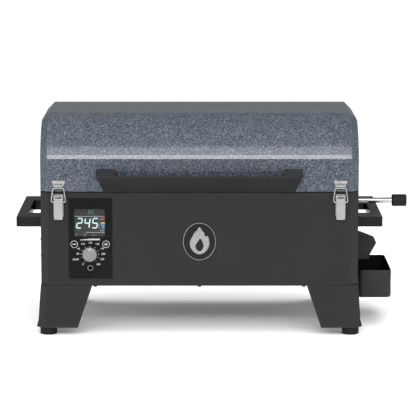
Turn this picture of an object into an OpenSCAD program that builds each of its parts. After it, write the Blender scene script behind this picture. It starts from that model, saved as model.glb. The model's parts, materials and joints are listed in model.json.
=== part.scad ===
// Table-top pellet smoker grill: folded sheet body, hinged lid, pellet hopper and
// auger on the left, fire pot and cooking chamber on the right.
// Millimetres, +Z up, front of the grill faces -Y, feet stand on z = 0.
// Inside the modules heights count from the datum, which is `rise` above the table.

/* [Body] */
// Width of the folded body shell
body_w = 620; // [610:1:630]
// Depth of the folded body shell
body_d = 360; // [352:1:366]
// Height of the underside of the body above the datum
body_low = 95; // [94:1:97]
// Height of the top edge of the body above the datum
body_top = 278; // [277:0.5:279]
// Flat cut across the upright body corners
corner_cut = 14; // [12:0.5:16]
// Thickness of the folded sheet
sheet = 1.5; // [1.2:0.1:1.8]
// Length of the pressed side louvres
louvre_len = 300; // [200:5:310]

/* [Lid] */
// Height of the lower lid edge above the datum
lid_low = 280; // [279.8:0.1:281]
// Height at which the upright lid front starts to curve
lid_crease = 344; // [340:1:348]
// Height of the flat lid top above the datum
lid_top = 425; // [420:1:430]
// Depth from the lid front to the start of the flat top
lid_flat = 79; // [74:1:84]
// Radius of the curved lid corner
lid_arc = 120; // [112:1:130]
// How far the lid handle reaches out from the lid front
grip_out = 40; // [34:1:44]
// Length of the lid handle along its fold
grip_len = 398; // [360:2:420]

/* [Controls] */
// Centre of the control panel from the body centre
panel_x = -212.3; // [-214:0.5:-210]
// Width of the control panel
panel_w = 84.6; // [82:0.2:86]
// Height of the control panel
panel_h = 158; // [156:1:159]
// Radius of the control knob
knob_r = 14.9; // [12:0.1:15.5]
// Length of the control knob
knob_len = 15; // [10:0.5:18]
// Radius of each push button
button_r = 7.1; // [6:0.1:7.2]

/* [Latches] */
// Distance of each latch from the body centre
latch_x = 274; // [268:1:278]
// Radius of the latch wire
wire_r = 1.35; // [1.1:0.05:1.4]

/* [Legs and handles] */
// How far each side handle reaches out from the body
side_out = 51; // [44:0.5:54]
// Height of the side handle underside
side_z = 202; // [200:1:206]
// Thickness of the side handle
side_h = 20; // [16:0.5:21]
// Diameter of each rubber foot
foot_d = 33; // [28:1:34]
// Height of each rubber foot
foot_h = 15; // [14:0.5:15.5]

/* [Broiler rod and grease] */
// Diameter of the broiler slider rod
rod_d = 10.5; // [8:0.5:10.5]
// How far the rod knob reaches out from the body
rod_reach = 105; // [96:1:110]
// How far the grease chute reaches out from the body
chute_out = 46; // [42:1:50]
// Width of the grease bucket outward from the body
bucket_w = 66; // [58:1:68]
// Length of the grease bucket along the body
bucket_len = 180; // [160:2:190]
// Depth of the grease bucket
bucket_h = 55.5; // [52:0.5:57]

/* [Cooking chamber] */
// Spacing of the cooking grate bars
bar_pitch = 14; // [12:0.5:18]
// Radius of the fire pot
pot_r = 40; // [38:0.5:41]
// Number of air holes in each ring round the fire pot
pot_holes = 12; // [8:2:14]
// Outer radius of the auger tube
auger_r = 22; // [20:0.5:22]
// Turns on the auger screw
auger_turns = 8; // [5:1:10]

/* [Hidden] */
$fn = 48;
rise = 3;
leg_base = foot_h - rise;
hw = body_w / 2;
hd = body_d / 2;
t = sheet;
hinge_y = hd + 5.5;
hinge_z = 279;
hinge_r = 4.5;
centre_x = (rod_reach - side_out) / 2;
centre_y = (hinge_y + hinge_r - hd - grip_out) / 2;
chord_y = lid_flat / 2;
chord_z = (lid_top - lid_crease) / 2;
chord_half = sqrt(chord_y * chord_y + chord_z * chord_z);
chord_in = sqrt(lid_arc * lid_arc - chord_half * chord_half);
arc_y = hd - (chord_y + chord_in * chord_z / chord_half);
arc_z = lid_crease + chord_z - chord_in * chord_y / chord_half;
end_cut = corner_cut;
auger_y = 25;
auger_z = 133;
pot_x = 27;
rod_y = -30;
rod_z = 240.6;
panel_low = 109;
knob_x = panel_x - 1.3;
knob_z = 158.5;
button_z = 177;
jack_z = 130;
pivot_y = -hd - 4.5;
pivot_z = 270.5;
loop_y = -hd - 7;
loop_z = 260.5;
bucket_x = hw + 6;
bucket_z = 53;
chute_z = 175.6;
chute_fall = 0.385;
partition_x = -160;
leg_wall = 2;
foot_x = hw - 14;
foot_y = hd - 12;
badge_z = 182;
hinge_x = 200;
screw_x = 204;
fan_x = -216;
fan_y = -96;
switch_x = -198;
switch_z = 156;

// Shift from the body centre and the datum to the foot of the whole grill
module place() {
  translate([-centre_x, -centre_y, rise])
    children();
}

// Box given by its two opposite corners
module block(a, b) {
  translate(a)
    cube([b[0] - a[0], b[1] - a[1], b[2] - a[2]]);
}

// Outline in y and z drawn out from x0 to x1
module along_x(x0, x1) {
  translate([x0, 0, 0])
    rotate([90, 0, 90])
      linear_extrude(x1 - x0)
        children();
}

// Outline in x and z drawn out from y0 to y1
module along_y(y0, y1) {
  translate([0, y1, 0])
    rotate([90, 0, 0])
      linear_extrude(y1 - y0)
        children();
}

// Round bar along x, y or z
module bar_x(x0, x1, y, z, r) {
  translate([x0, y, z])
    rotate([0, 90, 0])
      cylinder(r = r, h = x1 - x0);
}

module bar_y(y0, y1, x, z, r) {
  translate([x, y1, z])
    rotate([90, 0, 0])
      cylinder(r = r, h = y1 - y0);
}

module bar_z(z0, z1, x, y, r) {
  translate([x, y, z0])
    cylinder(r = r, h = z1 - z0);
}

// Plan of the body with flat corner cuts, drawn in by i on all sides
module plan(i) {
  c = corner_cut - 0.586 * i;
  x = hw - i;
  y = hd - i;
  polygon([
    [-x, -y + c], [-x + c, -y], [x - c, -y], [x, -y + c],
    [x, y - c], [x - c, y], [-x + c, y], [-x, y - c]
  ]);
}

module plan_ring(i0, i1, z0, z1) {
  translate([0, 0, z0])
    linear_extrude(z1 - z0)
      difference() {
        plan(i0);
        plan(i1);
      }
}

module louvre_form(z, out, up) {
  along_y(-louvre_len / 2, louvre_len / 2)
    polygon([[-hw + 0.2, z], [-hw - out, z], [-hw, z + up], [-hw + 0.2, z + up]]);
}

module body_shell() {
  color("#3b3b3c")
    place()
      difference() {
        union() {
          plan_ring(0, t, body_low, body_top);
          plan_ring(t - 0.3, 8, body_top - t, body_top);
          plan_ring(6.5, 8, body_top - 0.3, body_top + 5);
          plan_ring(t - 0.3, 12, body_low, body_low + t);
          for (z = [147, 180])
            louvre_form(z, 2.6, 9);
        }
        for (z = [147, 180])
          along_y(-louvre_len / 2 + 2, louvre_len / 2 - 2)
            polygon([
              [-hw + t + 1, z - 0.5], [-hw - 1.5, z - 0.5],
              [-hw, z + 5.5], [-hw + t + 1, z + 5.5]
            ]);
        block([panel_x - 39.8, -hd - 1, 114], [panel_x + 39.2, -hd + t + 1, 263]);
        bar_x(hw - t - 1, hw + 1, rod_y, rod_z, rod_d / 2 + 0.4);
        block([hw - t - 1, -19, 144], [hw + 1, 19, 172]);
        for (i = [0:11])
          block([-104 + 18 * i, hd - t - 1, 252], [-98 + 18 * i, hd + 1, 272]);
        for (i = [0:5])
          block([-290 + 18 * i, hd - t - 1, 106], [-284 + 18 * i, hd + 1, 128]);
        block([-252.5, hd - t - 1, 143], [-183.5, hd + 1, 169]);
      }
}

module floor_pan() {
  color("#2f2f31")
    place()
      difference() {
        translate([0, 0, body_low - t])
          linear_extrude(t)
            plan(3);
        for (i = [0:5])
          block([-270 + 16 * i, 100, body_low - t - 1], [-263 + 16 * i, 160, body_low + 1]);
        for (i = [-1:1])
          bar_z(body_low - t - 1, body_low + 1, screw_x * i, -hd + 10, 2);
      }
}

// Solid outline of a leg corner, grown outward with falling height
module leg_section(out, c, i) {
  x = hw + out - i;
  y = hd + out - i;
  k = c - 0.586 * i;
  over = i > 0 ? 10 : 0;
  polygon([[150 - over, -y], [x - k, -y], [x, -y + k], [x, -60 + over], [150 - over, -60 + over]]);
}

module leg_form(i) {
  hull() {
    translate([0, 0, body_low - 0.41])
      linear_extrude(0.01)
        leg_section(0.8, 11, i);
    translate([0, 0, 25])
      linear_extrude(0.01)
        leg_section(5.8, 14, i);
  }
  hull() {
    translate([0, 0, 25])
      linear_extrude(0.01)
        leg_section(5.8, 14, i);
    translate([0, 0, leg_base])
      linear_extrude(0.01)
        leg_section(9.2, 15, i);
  }
}

// Front right leg, mirrored for the other corners
module leg() {
  difference() {
    leg_form(0);
    translate([0, 0, -0.5])
      leg_form(leg_wall);
    translate([0, 0, 2])
      leg_form(leg_wall);
    along_y(-hd - 40, -40)
      polygon([[140, 0], [242, 0], [209.5, 95], [209.5, 110], [140, 110]]);
    along_x(140, hw + 40)
      polygon([[-50, 0], [-hd + 74, 0], [-hd + 76, 26], [-hd + 106, 97], [-hd + 106, 110], [-50, 110]]);
  }
  translate([0, 0, leg_base])
    linear_extrude(2)
      polygon([
        [hw - 44, -hd - 8], [hw - 7, -hd - 8], [hw + 8, -hd + 7],
        [hw + 8, -hd + 46], [hw - 44, -hd + 46]
      ]);
  translate([0, 0, body_low - t - 2])
    linear_extrude(2)
      polygon([
        [hw - 60, -hd + 1], [hw - 12, -hd + 1], [hw - 1, -hd + 12], [hw - 1, -hd + 60]
      ]);
}

module leg_node(sx, sy) {
  color("#363638")
    place()
      mirror([sx < 0 ? 1 : 0, 0, 0])
        mirror([0, sy > 0 ? 1 : 0, 0])
          leg();
}

module leg_front_left() {
  leg_node(-1, -1);
}

module leg_front_right() {
  leg_node(1, -1);
}

module leg_rear_left() {
  leg_node(-1, 1);
}

module leg_rear_right() {
  leg_node(1, 1);
}

module rubber_feet() {
  color("#1c1c1c")
    place()
      for (sx = [-1, 1])
        for (sy = [-1, 1])
          translate([sx * foot_x, sy * foot_y, -rise]) {
            cylinder(r1 = foot_d / 2 - 1.2, r2 = foot_d / 2, h = 1.2);
            translate([0, 0, 1.2])
              cylinder(r = foot_d / 2, h = foot_h - 3.2);
            translate([0, 0, foot_h - 2])
              cylinder(r1 = foot_d / 2, r2 = foot_d / 2 - 2, h = 2);
          }
}

// Flat loop handle on the right side, mirrored for the left
module side_handle(s) {
  color("#2b2b2c")
    place()
      mirror([s < 0 ? 1 : 0, 0, 0])
        translate([0, 0, side_z])
          linear_extrude(side_h)
            difference() {
              polygon([
                [hw, -125], [hw + side_out - 3, -125], [hw + side_out, -122],
                [hw + side_out, 147], [hw + side_out - 3, 150], [hw, 150]
              ]);
              polygon([
                [hw - 1, -72], [hw + side_out - 22.5, -72], [hw + side_out - 20.5, -70],
                [hw + side_out - 20.5, 90], [hw + side_out - 22.5, 92], [hw - 1, 92]
              ]);
            }
}

module side_handle_left() {
  side_handle(-1);
}

module side_handle_right() {
  side_handle(1);
}

module control_panel() {
  color("#262628")
    place()
      difference() {
        block([panel_x - panel_w / 2, -hd - 2, panel_low],
              [panel_x + panel_w / 2, -hd, panel_low + panel_h]);
        block([panel_x - 31.7, -hd - 3, 192], [panel_x + 28.3, -hd + 1, 246]);
        bar_y(-hd - 3, -hd + 1, knob_x, knob_z, 3.6);
        for (s = [-1, 1])
          bar_y(-hd - 3, -hd + 1, panel_x + 31 * s - 0.7, button_z, button_r + 0.35);
        bar_y(-hd - 3, -hd + 1, panel_x - 0.5, jack_z, 4.6);
        for (z = [120, 258])
          bar_y(-hd - 3, -hd + 1, panel_x, z, 1.6);
      }
}

module display_lens() {
  color("#0e1416")
    place()
      block([panel_x - 31.7, -hd - 1.8, 192], [panel_x + 28.3, -hd - 0.2, 246]);
}

module controller_box() {
  color("#202022")
    place()
      difference() {
        union() {
          block([panel_x - 39.4, -hd + 2, 114.4], [panel_x + 38.8, -hd + 40, 262.6]);
          block([panel_x - 31, -hd - 0.2, 192.6], [panel_x + 27.6, -hd + 3, 245.4]);
        }
        bar_y(-hd - 1, -hd + 10, knob_x, knob_z, 3.4);
        bar_y(-hd - 1, -hd + 22, panel_x - 0.5, jack_z, 4.8);
      }
}

module control_knob() {
  color("#c9cbcd")
    place()
      difference() {
        union() {
          bar_y(-hd - 5.5, -hd - 2.5, knob_x, knob_z, knob_r - 1.6);
          bar_y(-hd - 2.5 - knob_len, -hd - 5, knob_x, knob_z, knob_r);
          bar_y(-hd - 3, -hd + 8, knob_x, knob_z, 3);
        }
        bar_y(-hd - 3.5 - knob_len, -hd - 1.5 - knob_len, knob_x, knob_z + 9, 1.4);
        for (i = [0:17])
          translate([knob_x, 0, knob_z])
            rotate([0, 20 * i + 10, 0])
              block([-0.6, -hd - 3 - knob_len, knob_r - 0.7], [0.6, -hd - 6.5, knob_r + 1]);
      }
}

module button(s) {
  color("#d7d8da")
    place()
      translate([panel_x + 31 * s - 0.7, 0, button_z]) {
        bar_y(-hd - 4, -hd - 0.6, 0, 0, button_r);
        bar_y(-hd - 1, -hd + 0.4, 0, 0, 3);
      }
}

module button_left() {
  button(-1);
}

module button_right() {
  button(1);
}

module probe_jack() {
  color("#b9bcbf")
    place()
      translate([panel_x - 0.5, 0, jack_z])
        difference() {
          union() {
            bar_y(-hd - 4, -hd - 2, 0, 0, 5.6);
            bar_y(-hd - 2.5, -hd + 20, 0, 0, 4.3);
          }
          bar_y(-hd - 5, -hd + 16, 0, 0, 3);
        }
}

// Pan head screw along -y with a cross recess
module screw_y(x, z, r) {
  translate([x, -hd - 2, z])
    difference() {
      union() {
        rotate([90, 0, 0])
          cylinder(r1 = r, r2 = r * 0.6, h = 1.5);
        bar_y(-0.5, 3, 0, 0, r * 0.5);
      }
      block([-0.35, -2, -r * 0.4], [0.35, -0.9, r * 0.4]);
      block([-r * 0.4, -2, -0.35], [r * 0.4, -0.9, 0.35]);
    }
}

module panel_screws() {
  color("#1a1a1b")
    place()
      for (z = [120, 258])
        screw_y(panel_x, z, 2.7);
}

module oval(rx, rz) {
  polygon([for (a = [0:7.5:352.5]) [rx * cos(a), rz * sin(a)]]);
}

module badge_plate() {
  color("#1b1c1e")
    place()
      translate([0, 0, badge_z])
        along_y(-hd - 1.6, -hd)
          oval(33, 38);
}

module badge_ring() {
  color("#c3c5c8")
    place()
      translate([0, 0, badge_z])
        along_y(-hd - 2.6, -hd - 1.6)
          difference() {
            oval(32.6, 37.6);
            oval(30.4, 35.4);
          }
}

module badge_emblem() {
  color("#c3c5c8")
    place()
      translate([0, 0, badge_z])
        along_y(-hd - 2.6, -hd - 1.6)
          polygon([
            [0, 29], [7, 17], [5, 8], [11, 12], [17, 1], [17, -10],
            [11, -20], [3, -25], [7, -15], [2, -3], [-3, -12], [-4, -25],
            [-12, -20], [-17, -9], [-14, 3], [-8, 9], [-5, 18]
          ]);
}

module bottom_screws() {
  color("#2a2a2b")
    place()
      for (i = [-1:1])
        translate([screw_x * i, -hd + 10, body_low - t])
          difference() {
            union() {
              translate([0, 0, -3])
                cylinder(r1 = 2.6, r2 = 5, h = 3);
              translate([0, 0, -0.5])
                cylinder(r = 1.8, h = t + 0.5);
            }
            block([-0.5, -2.5, -4], [0.5, 2.5, -2]);
            block([-2.5, -0.5, -4], [2.5, 0.5, -2]);
          }
}

module latch_base(x) {
  translate([x, 0, 0]) {
    block([-9.5, -hd - 1.2, 232], [9.5, -hd, 274.5]);
    for (s = [-1, 1])
      block([s * 6.55 - 0.55, -hd - 6.8, pivot_z - 3.2], [s * 6.55 + 0.55, -hd - 1, pivot_z + 3.2]);
    bar_x(-8.95, 8.95, pivot_y, pivot_z, 1.4);
  }
}

module latch_bases() {
  color("#b4b7ba")
    place() {
      latch_base(-latch_x);
      latch_base(latch_x);
    }
}

module latch_lever(x) {
  color("#c2c4c7")
    place()
      translate([x, 0, 0])
        difference() {
          union() {
            along_y(-hd - 10.2, -hd - 9)
              polygon([
                [-8.65, pivot_z - 4.5], [-8.65, 230], [-5.4, 226], [5.4, 226],
                [8.65, 230], [8.65, pivot_z - 4.5]
              ]);
            for (s = [-1, 1])
              block([s * 8.05 - 0.6, -hd - 9.3, 236], [s * 8.05 + 0.6, -hd - 2.6, pivot_z + 2.4]);
          }
          bar_x(-12, 12, pivot_y, pivot_z, 1.75);
          bar_x(-12, 12, loop_y, loop_z, wire_r + 0.35);
        }
}

module latch_lever_left() {
  latch_lever(-latch_x);
}

module latch_lever_right() {
  latch_lever(latch_x);
}

// Straight wire between two points
module wire(a, b) {
  d = [b[0] - a[0], b[1] - a[1], b[2] - a[2]];
  n = sqrt(d[0] * d[0] + d[1] * d[1] + d[2] * d[2]);
  translate(a)
    rotate([0, acos(d[2] / n), atan2(d[1], d[0])])
      cylinder(r = wire_r, h = n, $fn = 24);
}

module wire_bend(a) {
  translate(a)
    sphere(r = wire_r * 1.06, $fn = 24);
}

module latch_loop(x) {
  color("#c9cbce")
    place()
      translate([x, 0, 0]) {
        wire([-10.4, -hd - 4, 287.4], [10.4, -hd - 4, 287.4]);
        for (s = [-1, 1]) {
          wire([s * 10.4, -hd - 4, 287.4], [s * 13.4, loop_y, loop_z + 4]);
          wire([s * 13.4, loop_y, loop_z + 4], [s * 12.4, loop_y, loop_z]);
          wire([s * 12.4, loop_y, loop_z], [s * 7.3, loop_y, loop_z]);
          wire_bend([s * 10.4, -hd - 4, 287.4]);
          wire_bend([s * 13.4, loop_y, loop_z + 4]);
          wire_bend([s * 12.4, loop_y, loop_z]);
        }
      }
}

module latch_loop_left() {
  latch_loop(-latch_x);
}

module latch_loop_right() {
  latch_loop(latch_x);
}

module lid_keepers() {
  color("#bfc2c5")
    place()
      for (s = [-1, 1])
        translate([s * latch_x, 0, 0]) {
          along_y(-hd - 1.2, -hd)
            polygon([[-9.4, 289.7], [9.4, 289.7], [13.3, 301.5], [-13.3, 301.5]]);
          block([-9.4, -hd - 5, 289.7], [9.4, -hd - 1, 290.9]);
          block([-9.4, -hd - 6, 289.7], [9.4, -hd - 4.8, 293.2]);
        }
}

// Lid cross-section in y and z, drawn in by i
module lid_profile(i) {
  intersection() {
    union() {
      for (s = [-1, 1])
        translate([s * arc_y, arc_z])
          circle(r = lid_arc - i, $fn = 180);
      translate([-arc_y, lid_low])
        square([2 * arc_y, lid_top - lid_low]);
      translate([-hd, lid_low - 5])
        square([2 * hd, arc_z + 20 - lid_low]);
    }
    translate([-hd + i, lid_low - (i > 0 ? 1 : 0)])
      square([2 * (hd - i), lid_top - i - lid_low + (i > 0 ? 1 : 0)]);
  }
}

module lid_shell() {
  color("#46566b")
    place()
      along_x(-hw + end_cut, hw - end_cut)
        difference() {
          lid_profile(0);
          lid_profile(t);
        }
}

// Closed form of the lid with a flat cut running round each end, drawn in by i
module lid_form(i) {
  x1 = hw - i;
  c = end_cut - 0.586 * i;
  x0 = x1 - c;
  low = lid_low - (i > 0 ? 1 : 0);
  top = lid_top - i;
  intersection() {
    union() {
      for (s = [-1, 1]) {
        bar_x(x0 - 30, x0, s * arc_y, arc_z, lid_arc - i, $fn = 180);
        translate([x0, s * arc_y, arc_z])
          rotate([0, 90, 0])
            cylinder(r1 = lid_arc - i, r2 = lid_arc - i - c, h = c, $fn = 180);
      }
      block([x0 - 30, -arc_y, low], [x1, arc_y, top]);
      block([x0 - 30, -hd, low], [x1, hd, arc_z + 20]);
    }
    translate([0, 0, low])
      linear_extrude(top - low)
        plan(i);
    along_y(-hd + i, hd - i)
      polygon([[x0 - 40, low], [x1, low], [x1, top - c], [x0, top], [x0 - 40, top]]);
  }
}

// Pressed lid end on the right, mirrored for the left
module lid_end(s) {
  color("#3f4e62")
    place()
      mirror([s < 0 ? 1 : 0, 0, 0])
        difference() {
          lid_form(0);
          lid_form(t);
          block([0, -hd - 1, lid_low - 2], [hw - end_cut, hd + 1, lid_top + 1]);
        }
}

module lid_end_left() {
  lid_end(-1);
}

module lid_end_right() {
  lid_end(1);
}

module corner_dot(p) {
  translate(p)
    cube([1.6, 1.6, 1.6]);
}

module grip_gusset() {
  h = grip_len / 2;
  hull() {
    corner_dot([h - 1, -hd - 1.7, 322.8]);
    corner_dot([h - 1.6, -hd - grip_out + 1, 312]);
    corner_dot([h - 14.2, -hd - 4.8, 281.4]);
  }
}

module lid_handle() {
  h = grip_len / 2;
  y1 = -hd - grip_out;
  color("#2a2a2b")
    place() {
      difference() {
        along_x(-h - 1.5, h + 1.5)
          polygon([[-hd, 324.5], [y1, 314], [y1, 312.4], [-hd, 322.9]]);
        block([-h + 29, y1 + 5, 300], [h - 34, -hd + 1, 330]);
      }
      intersection() {
        along_x(-h, h)
          polygon([
            [y1, 314], [y1 + 36, 279], [y1 + 37.2, 280.2], [y1 + 2.2, 314.2]
          ]);
        along_y(y1 - 5, -hd)
          polygon([[-h, 315], [-h + 13.4, 278], [h - 13.4, 278], [h, 315]]);
      }
      grip_gusset();
      mirror([1, 0, 0])
        grip_gusset();
    }
}

module hinge_body_leaves() {
  color("#8d9094")
    place()
      for (s = [-1, 1])
        translate([hinge_x * s, 0, 0])
          difference() {
            union() {
              block([-25, hd, 246], [25, hd + 1.5, hinge_z - 3.5]);
              for (x = [-20.15, 20.15])
                block([x - 4.85, hd, hinge_z - 5], [x + 4.85, hd + 3, hinge_z - 1]);
              for (x = [-20.15, 20.15])
                bar_x(x - 4.85, x + 4.85, hinge_y, hinge_z, hinge_r);
            }
            bar_x(-30, 30, hinge_y, hinge_z, 2.4);
          }
}

module hinge_lid_leaves() {
  color("#8d9094")
    place()
      for (s = [-1, 1])
        translate([hinge_x * s, 0, 0])
          difference() {
            union() {
              block([-14.9, hd, hinge_z + 2], [14.9, hd + 1.5, 312]);
              block([-14.9, hd, hinge_z + 1.5], [14.9, hd + 3, hinge_z + 5]);
              bar_x(-14.9, 14.9, hinge_y, hinge_z, hinge_r);
            }
            bar_x(-30, 30, hinge_y, hinge_z, 2.4);
          }
}

module hinge_pins() {
  color("#a9acb0")
    place()
      for (s = [-1, 1])
        translate([hinge_x * s, 0, 0]) {
          bar_x(-27, 27, hinge_y, hinge_z, 2.05);
          bar_x(-28, -25.4, hinge_y, hinge_z, 3.4);
          bar_x(25.4, 28, hinge_y, hinge_z, 3.4);
        }
}

module partition() {
  color("#4a4b4d")
    place()
      difference() {
        block([partition_x, -hd + t, body_low + t], [partition_x + t, hd - t, 268]);
        bar_x(partition_x - 1, partition_x + 4, auger_y, auger_z, auger_r + 0.5);
        for (i = [0:3])
          bar_x(partition_x - 1, partition_x + 4, -120 + 16 * i, 112, 5);
      }
}

module grate_rails() {
  color("#55565a")
    place()
      for (s = [0, 1])
        mirror([0, s, 0]) {
          block([partition_x + 8, -hd + t, 246], [hw - 17, -hd + 14, 247.5]);
          block([partition_x + 8, -hd + t, 232.5], [hw - 17, -hd + t + 1.5, 246.2]);
        }
}

module grate(x0, x1) {
  color("#232324")
    place()
      difference() {
        block([x0, -170, 247.5], [x1, 170, 252.5]);
        for (i = [0:floor((x1 - x0 - 16) / bar_pitch) - 1])
          for (j = [0:2])
            block([x0 + 8 + bar_pitch * i, -163 + 110.5 * j, 246],
                  [x0 + 2 + bar_pitch * (i + 1), -163 + 110.5 * j + 105, 254]);
      }
}

module cooking_grate_left() {
  grate(partition_x + 12, partition_x + 231);
}

module cooking_grate_right() {
  grate(partition_x + 233, partition_x + 452);
}

module broiler_plate() {
  color("#3a3a3c")
    place()
      difference() {
        block([partition_x + 3, -hd + 2, 231], [hw - 15, hd - 2, 232.5]);
        for (i = [0:4])
          block([-40 + 26 * i, -90, 230], [-28 + 26 * i, 50, 234]);
      }
}

module slider_plate() {
  color("#4b4c4f")
    place()
      difference() {
        union() {
          block([-66, -104, 232.8], [110, 64, 234.3]);
          block([108.5, rod_y - 18, 234], [110, rod_y + 18, 246.4]);
        }
        for (i = [0:4])
          block([-54 + 26 * i, -90, 232], [-42 + 26 * i, 50, 235]);
      }
}

module slider_rod() {
  color("#d2d4d6")
    place()
      bar_x(110, hw + rod_reach - 29, rod_y, rod_z, rod_d / 2);
}

module rod_knob() {
  color("#202021")
    place() {
      x = hw + rod_reach - 29;
      translate([x, rod_y, rod_z])
        rotate([0, 90, 0]) {
          cylinder(r1 = 10.8, r2 = 12, h = 1.2);
          translate([0, 0, 1.2])
            cylinder(r = 12, h = 26.3);
          translate([0, 0, 27.5])
            cylinder(r1 = 12, r2 = 10.5, h = 1.5);
        }
    }
}

module fire_pot() {
  color("#5a5654")
    place()
      difference() {
        bar_z(104, 190, pot_x, auger_y, pot_r);
        bar_z(107, 200, pot_x, auger_y, pot_r - 2.5);
        bar_x(pot_x - pot_r - 5, pot_x - 10, auger_y, auger_z, auger_r + 0.5);
        bar_y(auger_y + 20, auger_y + pot_r + 5, pot_x, 118, 5.3);
        for (k = [0:1])
          for (i = [0:pot_holes - 1])
            translate([pot_x, auger_y, 168 + 10 * k])
              rotate([0, 0, 360 / pot_holes * (i + k / 2)])
                bar_x(pot_r - 6, pot_r + 3, 0, 0, 2.5, $fn = 16);
      }
}

module igniter() {
  color("#9a8f86")
    place() {
      bar_y(auger_y + 28, 150, pot_x, 118, 4.8);
      bar_y(150, 172, pot_x, 118, 7);
    }
}

module auger_tube() {
  color("#77797c")
    place()
      difference() {
        bar_x(-256, pot_x - pot_r + 8, auger_y, auger_z, auger_r);
        bar_x(-257, pot_x - pot_r + 9, auger_y, auger_z, auger_r - 2);
        block([-240, auger_y - 11, auger_z + 8], [-188, auger_y + 11, auger_z + 30]);
      }
}

module auger_screw() {
  len = pot_x - pot_r + 5 + 255;
  color("#8a8c90")
    place()
      translate([-255, auger_y, auger_z])
        rotate([0, 90, 0]) {
          cylinder(r = 6, h = len);
          translate([0, 0, 2])
            linear_extrude(len - 4, twist = -360 * auger_turns, slices = 14 * auger_turns, $fn = 6)
              polygon([[4, -2], [auger_r - 3.5, -2], [auger_r - 3.5, 2], [4, 2]]);
        }
}

module auger_motor() {
  color("#6d6f72")
    place() {
      block([-303, auger_y - 26, auger_z - 26], [-277, auger_y + 26, auger_z + 26]);
      block([-277, auger_y - 20, auger_z - 20], [-262, auger_y + 20, auger_z + 20]);
      bar_x(-263, -256.5, auger_y, auger_z, 5);
    }
}

module fan_housing() {
  color("#242526")
    place()
      translate([fan_x, fan_y, body_low])
        difference() {
          block([-40, -40, 0], [40, 40, 28]);
          bar_z(2, 40, 0, 0, 36);
          bar_z(-1, 10, 0, 0, 30);
          block([10, -50, 6], [34, -30, 22]);
        }
}

module fan_impeller() {
  color("#3c3e40")
    place()
      translate([fan_x, fan_y, body_low + 4]) {
        bar_z(0, 20, 0, 0, 12);
        bar_z(0, 1.5, 0, 0, 32);
        for (i = [0:8])
          rotate([0, 0, 40 * i])
            block([10, -0.8, 1], [32, 0.8, 19]);
      }
}

// Hopper body drawn in by i: straight above, four sloping sides below
module hopper_form(i) {
  hull() {
    block([-300 + i, -60 + i, 214], [-166 - i, 110 - i, 215]);
    block([-240 + i, auger_y - 11 + i, 156 - i], [-188 - i, auger_y + 11 - i, 157]);
  }
  block([-300 + i, -60 + i, 214.5], [-166 - i, 110 - i, 268 + i]);
}

module hopper_bin() {
  color("#505256")
    place()
      difference() {
        hopper_form(0);
        hopper_form(t);
      }
}

module hopper_grid() {
  color("#77797d")
    place()
      difference() {
        block([-300 + t, -60 + t, 248], [-166 - t, 110 - t, 250]);
        for (i = [0:5])
          for (j = [0:3])
            block([-294 + 21 * i, -52 + 39 * j, 247], [-278 + 21 * i, -18 + 39 * j, 251]);
      }
}

module hopper_lid() {
  color("#3f4042")
    place() {
      difference() {
        block([-301, -61, 268.4], [-168, 111, 269.9]);
        block([-296, 18, 268], [-286, 32, 271]);
      }
      block([-168.2, -50, 268.6], [-164.5, 100, 269.9]);
      bar_y(-50, 100, -164.2, 269.9, 2.2);
    }
}

module grease_tray() {
  x0 = partition_x + 4;
  x1 = hw - 3;
  color("#4e4b49")
    place()
      difference() {
        union() {
          along_y(-165, 165)
            polygon([[x0, 196], [x1, 170], [x1, 168.8], [x0, 194.8]]);
          for (s = [0, 1])
            mirror([0, s, 0])
              along_y(-165, -163.8)
                polygon([[x0, 203], [x1, 177], [x1, 169], [x0, 195]]);
          along_y(-16, 16)
            polygon([[x1 - 4, 170.2], [hw + 8, 166], [hw + 8, 164.8], [x1 - 4, 169]]);
          difference() {
            block([x1 - 1.2, -165, 169.2], [x1, 165, 177]);
            block([x1 - 2, -16, 160], [x1 + 1, 16, 180]);
          }
        }
        bar_z(150, 220, pot_x, auger_y, pot_r + 5);
      }
}

module grease_chute() {
  top = chute_z - (chute_out - 6.5) * chute_fall;
  color("#3b3b3d")
    place()
      translate([hw, 0, 0])
        difference() {
          along_y(-21, 21)
            polygon([
              [0, chute_z], [chute_out - 6.5, top], [chute_out - 3, top - 1.8],
              [chute_out - 0.7, top - 4.6], [chute_out, top - 8.2], [chute_out - 0.9, top - 11.6],
              [chute_out - 12.4, 128], [chute_out - 14.4, 119], [0, 119]
            ]);
          along_y(-19.5, 19.5)
            polygon([
              [-1, chute_z - 1.3], [chute_out - 6.9, top - 1.6], [chute_out - 4, top - 3.1],
              [chute_out - 2.1, top - 5.4], [chute_out - 1.5, top - 8.2], [chute_out - 2.3, top - 10.8],
              [chute_out + 2, top - 10.8], [chute_out + 2, 118], [-1, 118]
            ]);
        }
}

module bucket_bracket() {
  color("#39393b")
    place()
      along_y(-60, 60)
        polygon([
          [hw, 96], [hw + 1.5, 96], [hw + 1.5, 99.5], [hw + 5, 99.5],
          [hw + 5, 106.3], [hw + 3.8, 106.3], [hw + 3.8, 101], [hw, 101]
        ]);
}

// Plan of the bucket with small corner cuts
module bucket_plan(i) {
  x0 = bucket_x + i;
  x1 = bucket_x + bucket_w - i;
  y = bucket_len / 2 - i;
  c = 6;
  polygon([
    [x0, -y + c], [x0 + c, -y], [x1 - c, -y], [x1, -y + c],
    [x1, y - c], [x1 - c, y], [x0 + c, y], [x0, y - c]
  ]);
}

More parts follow.
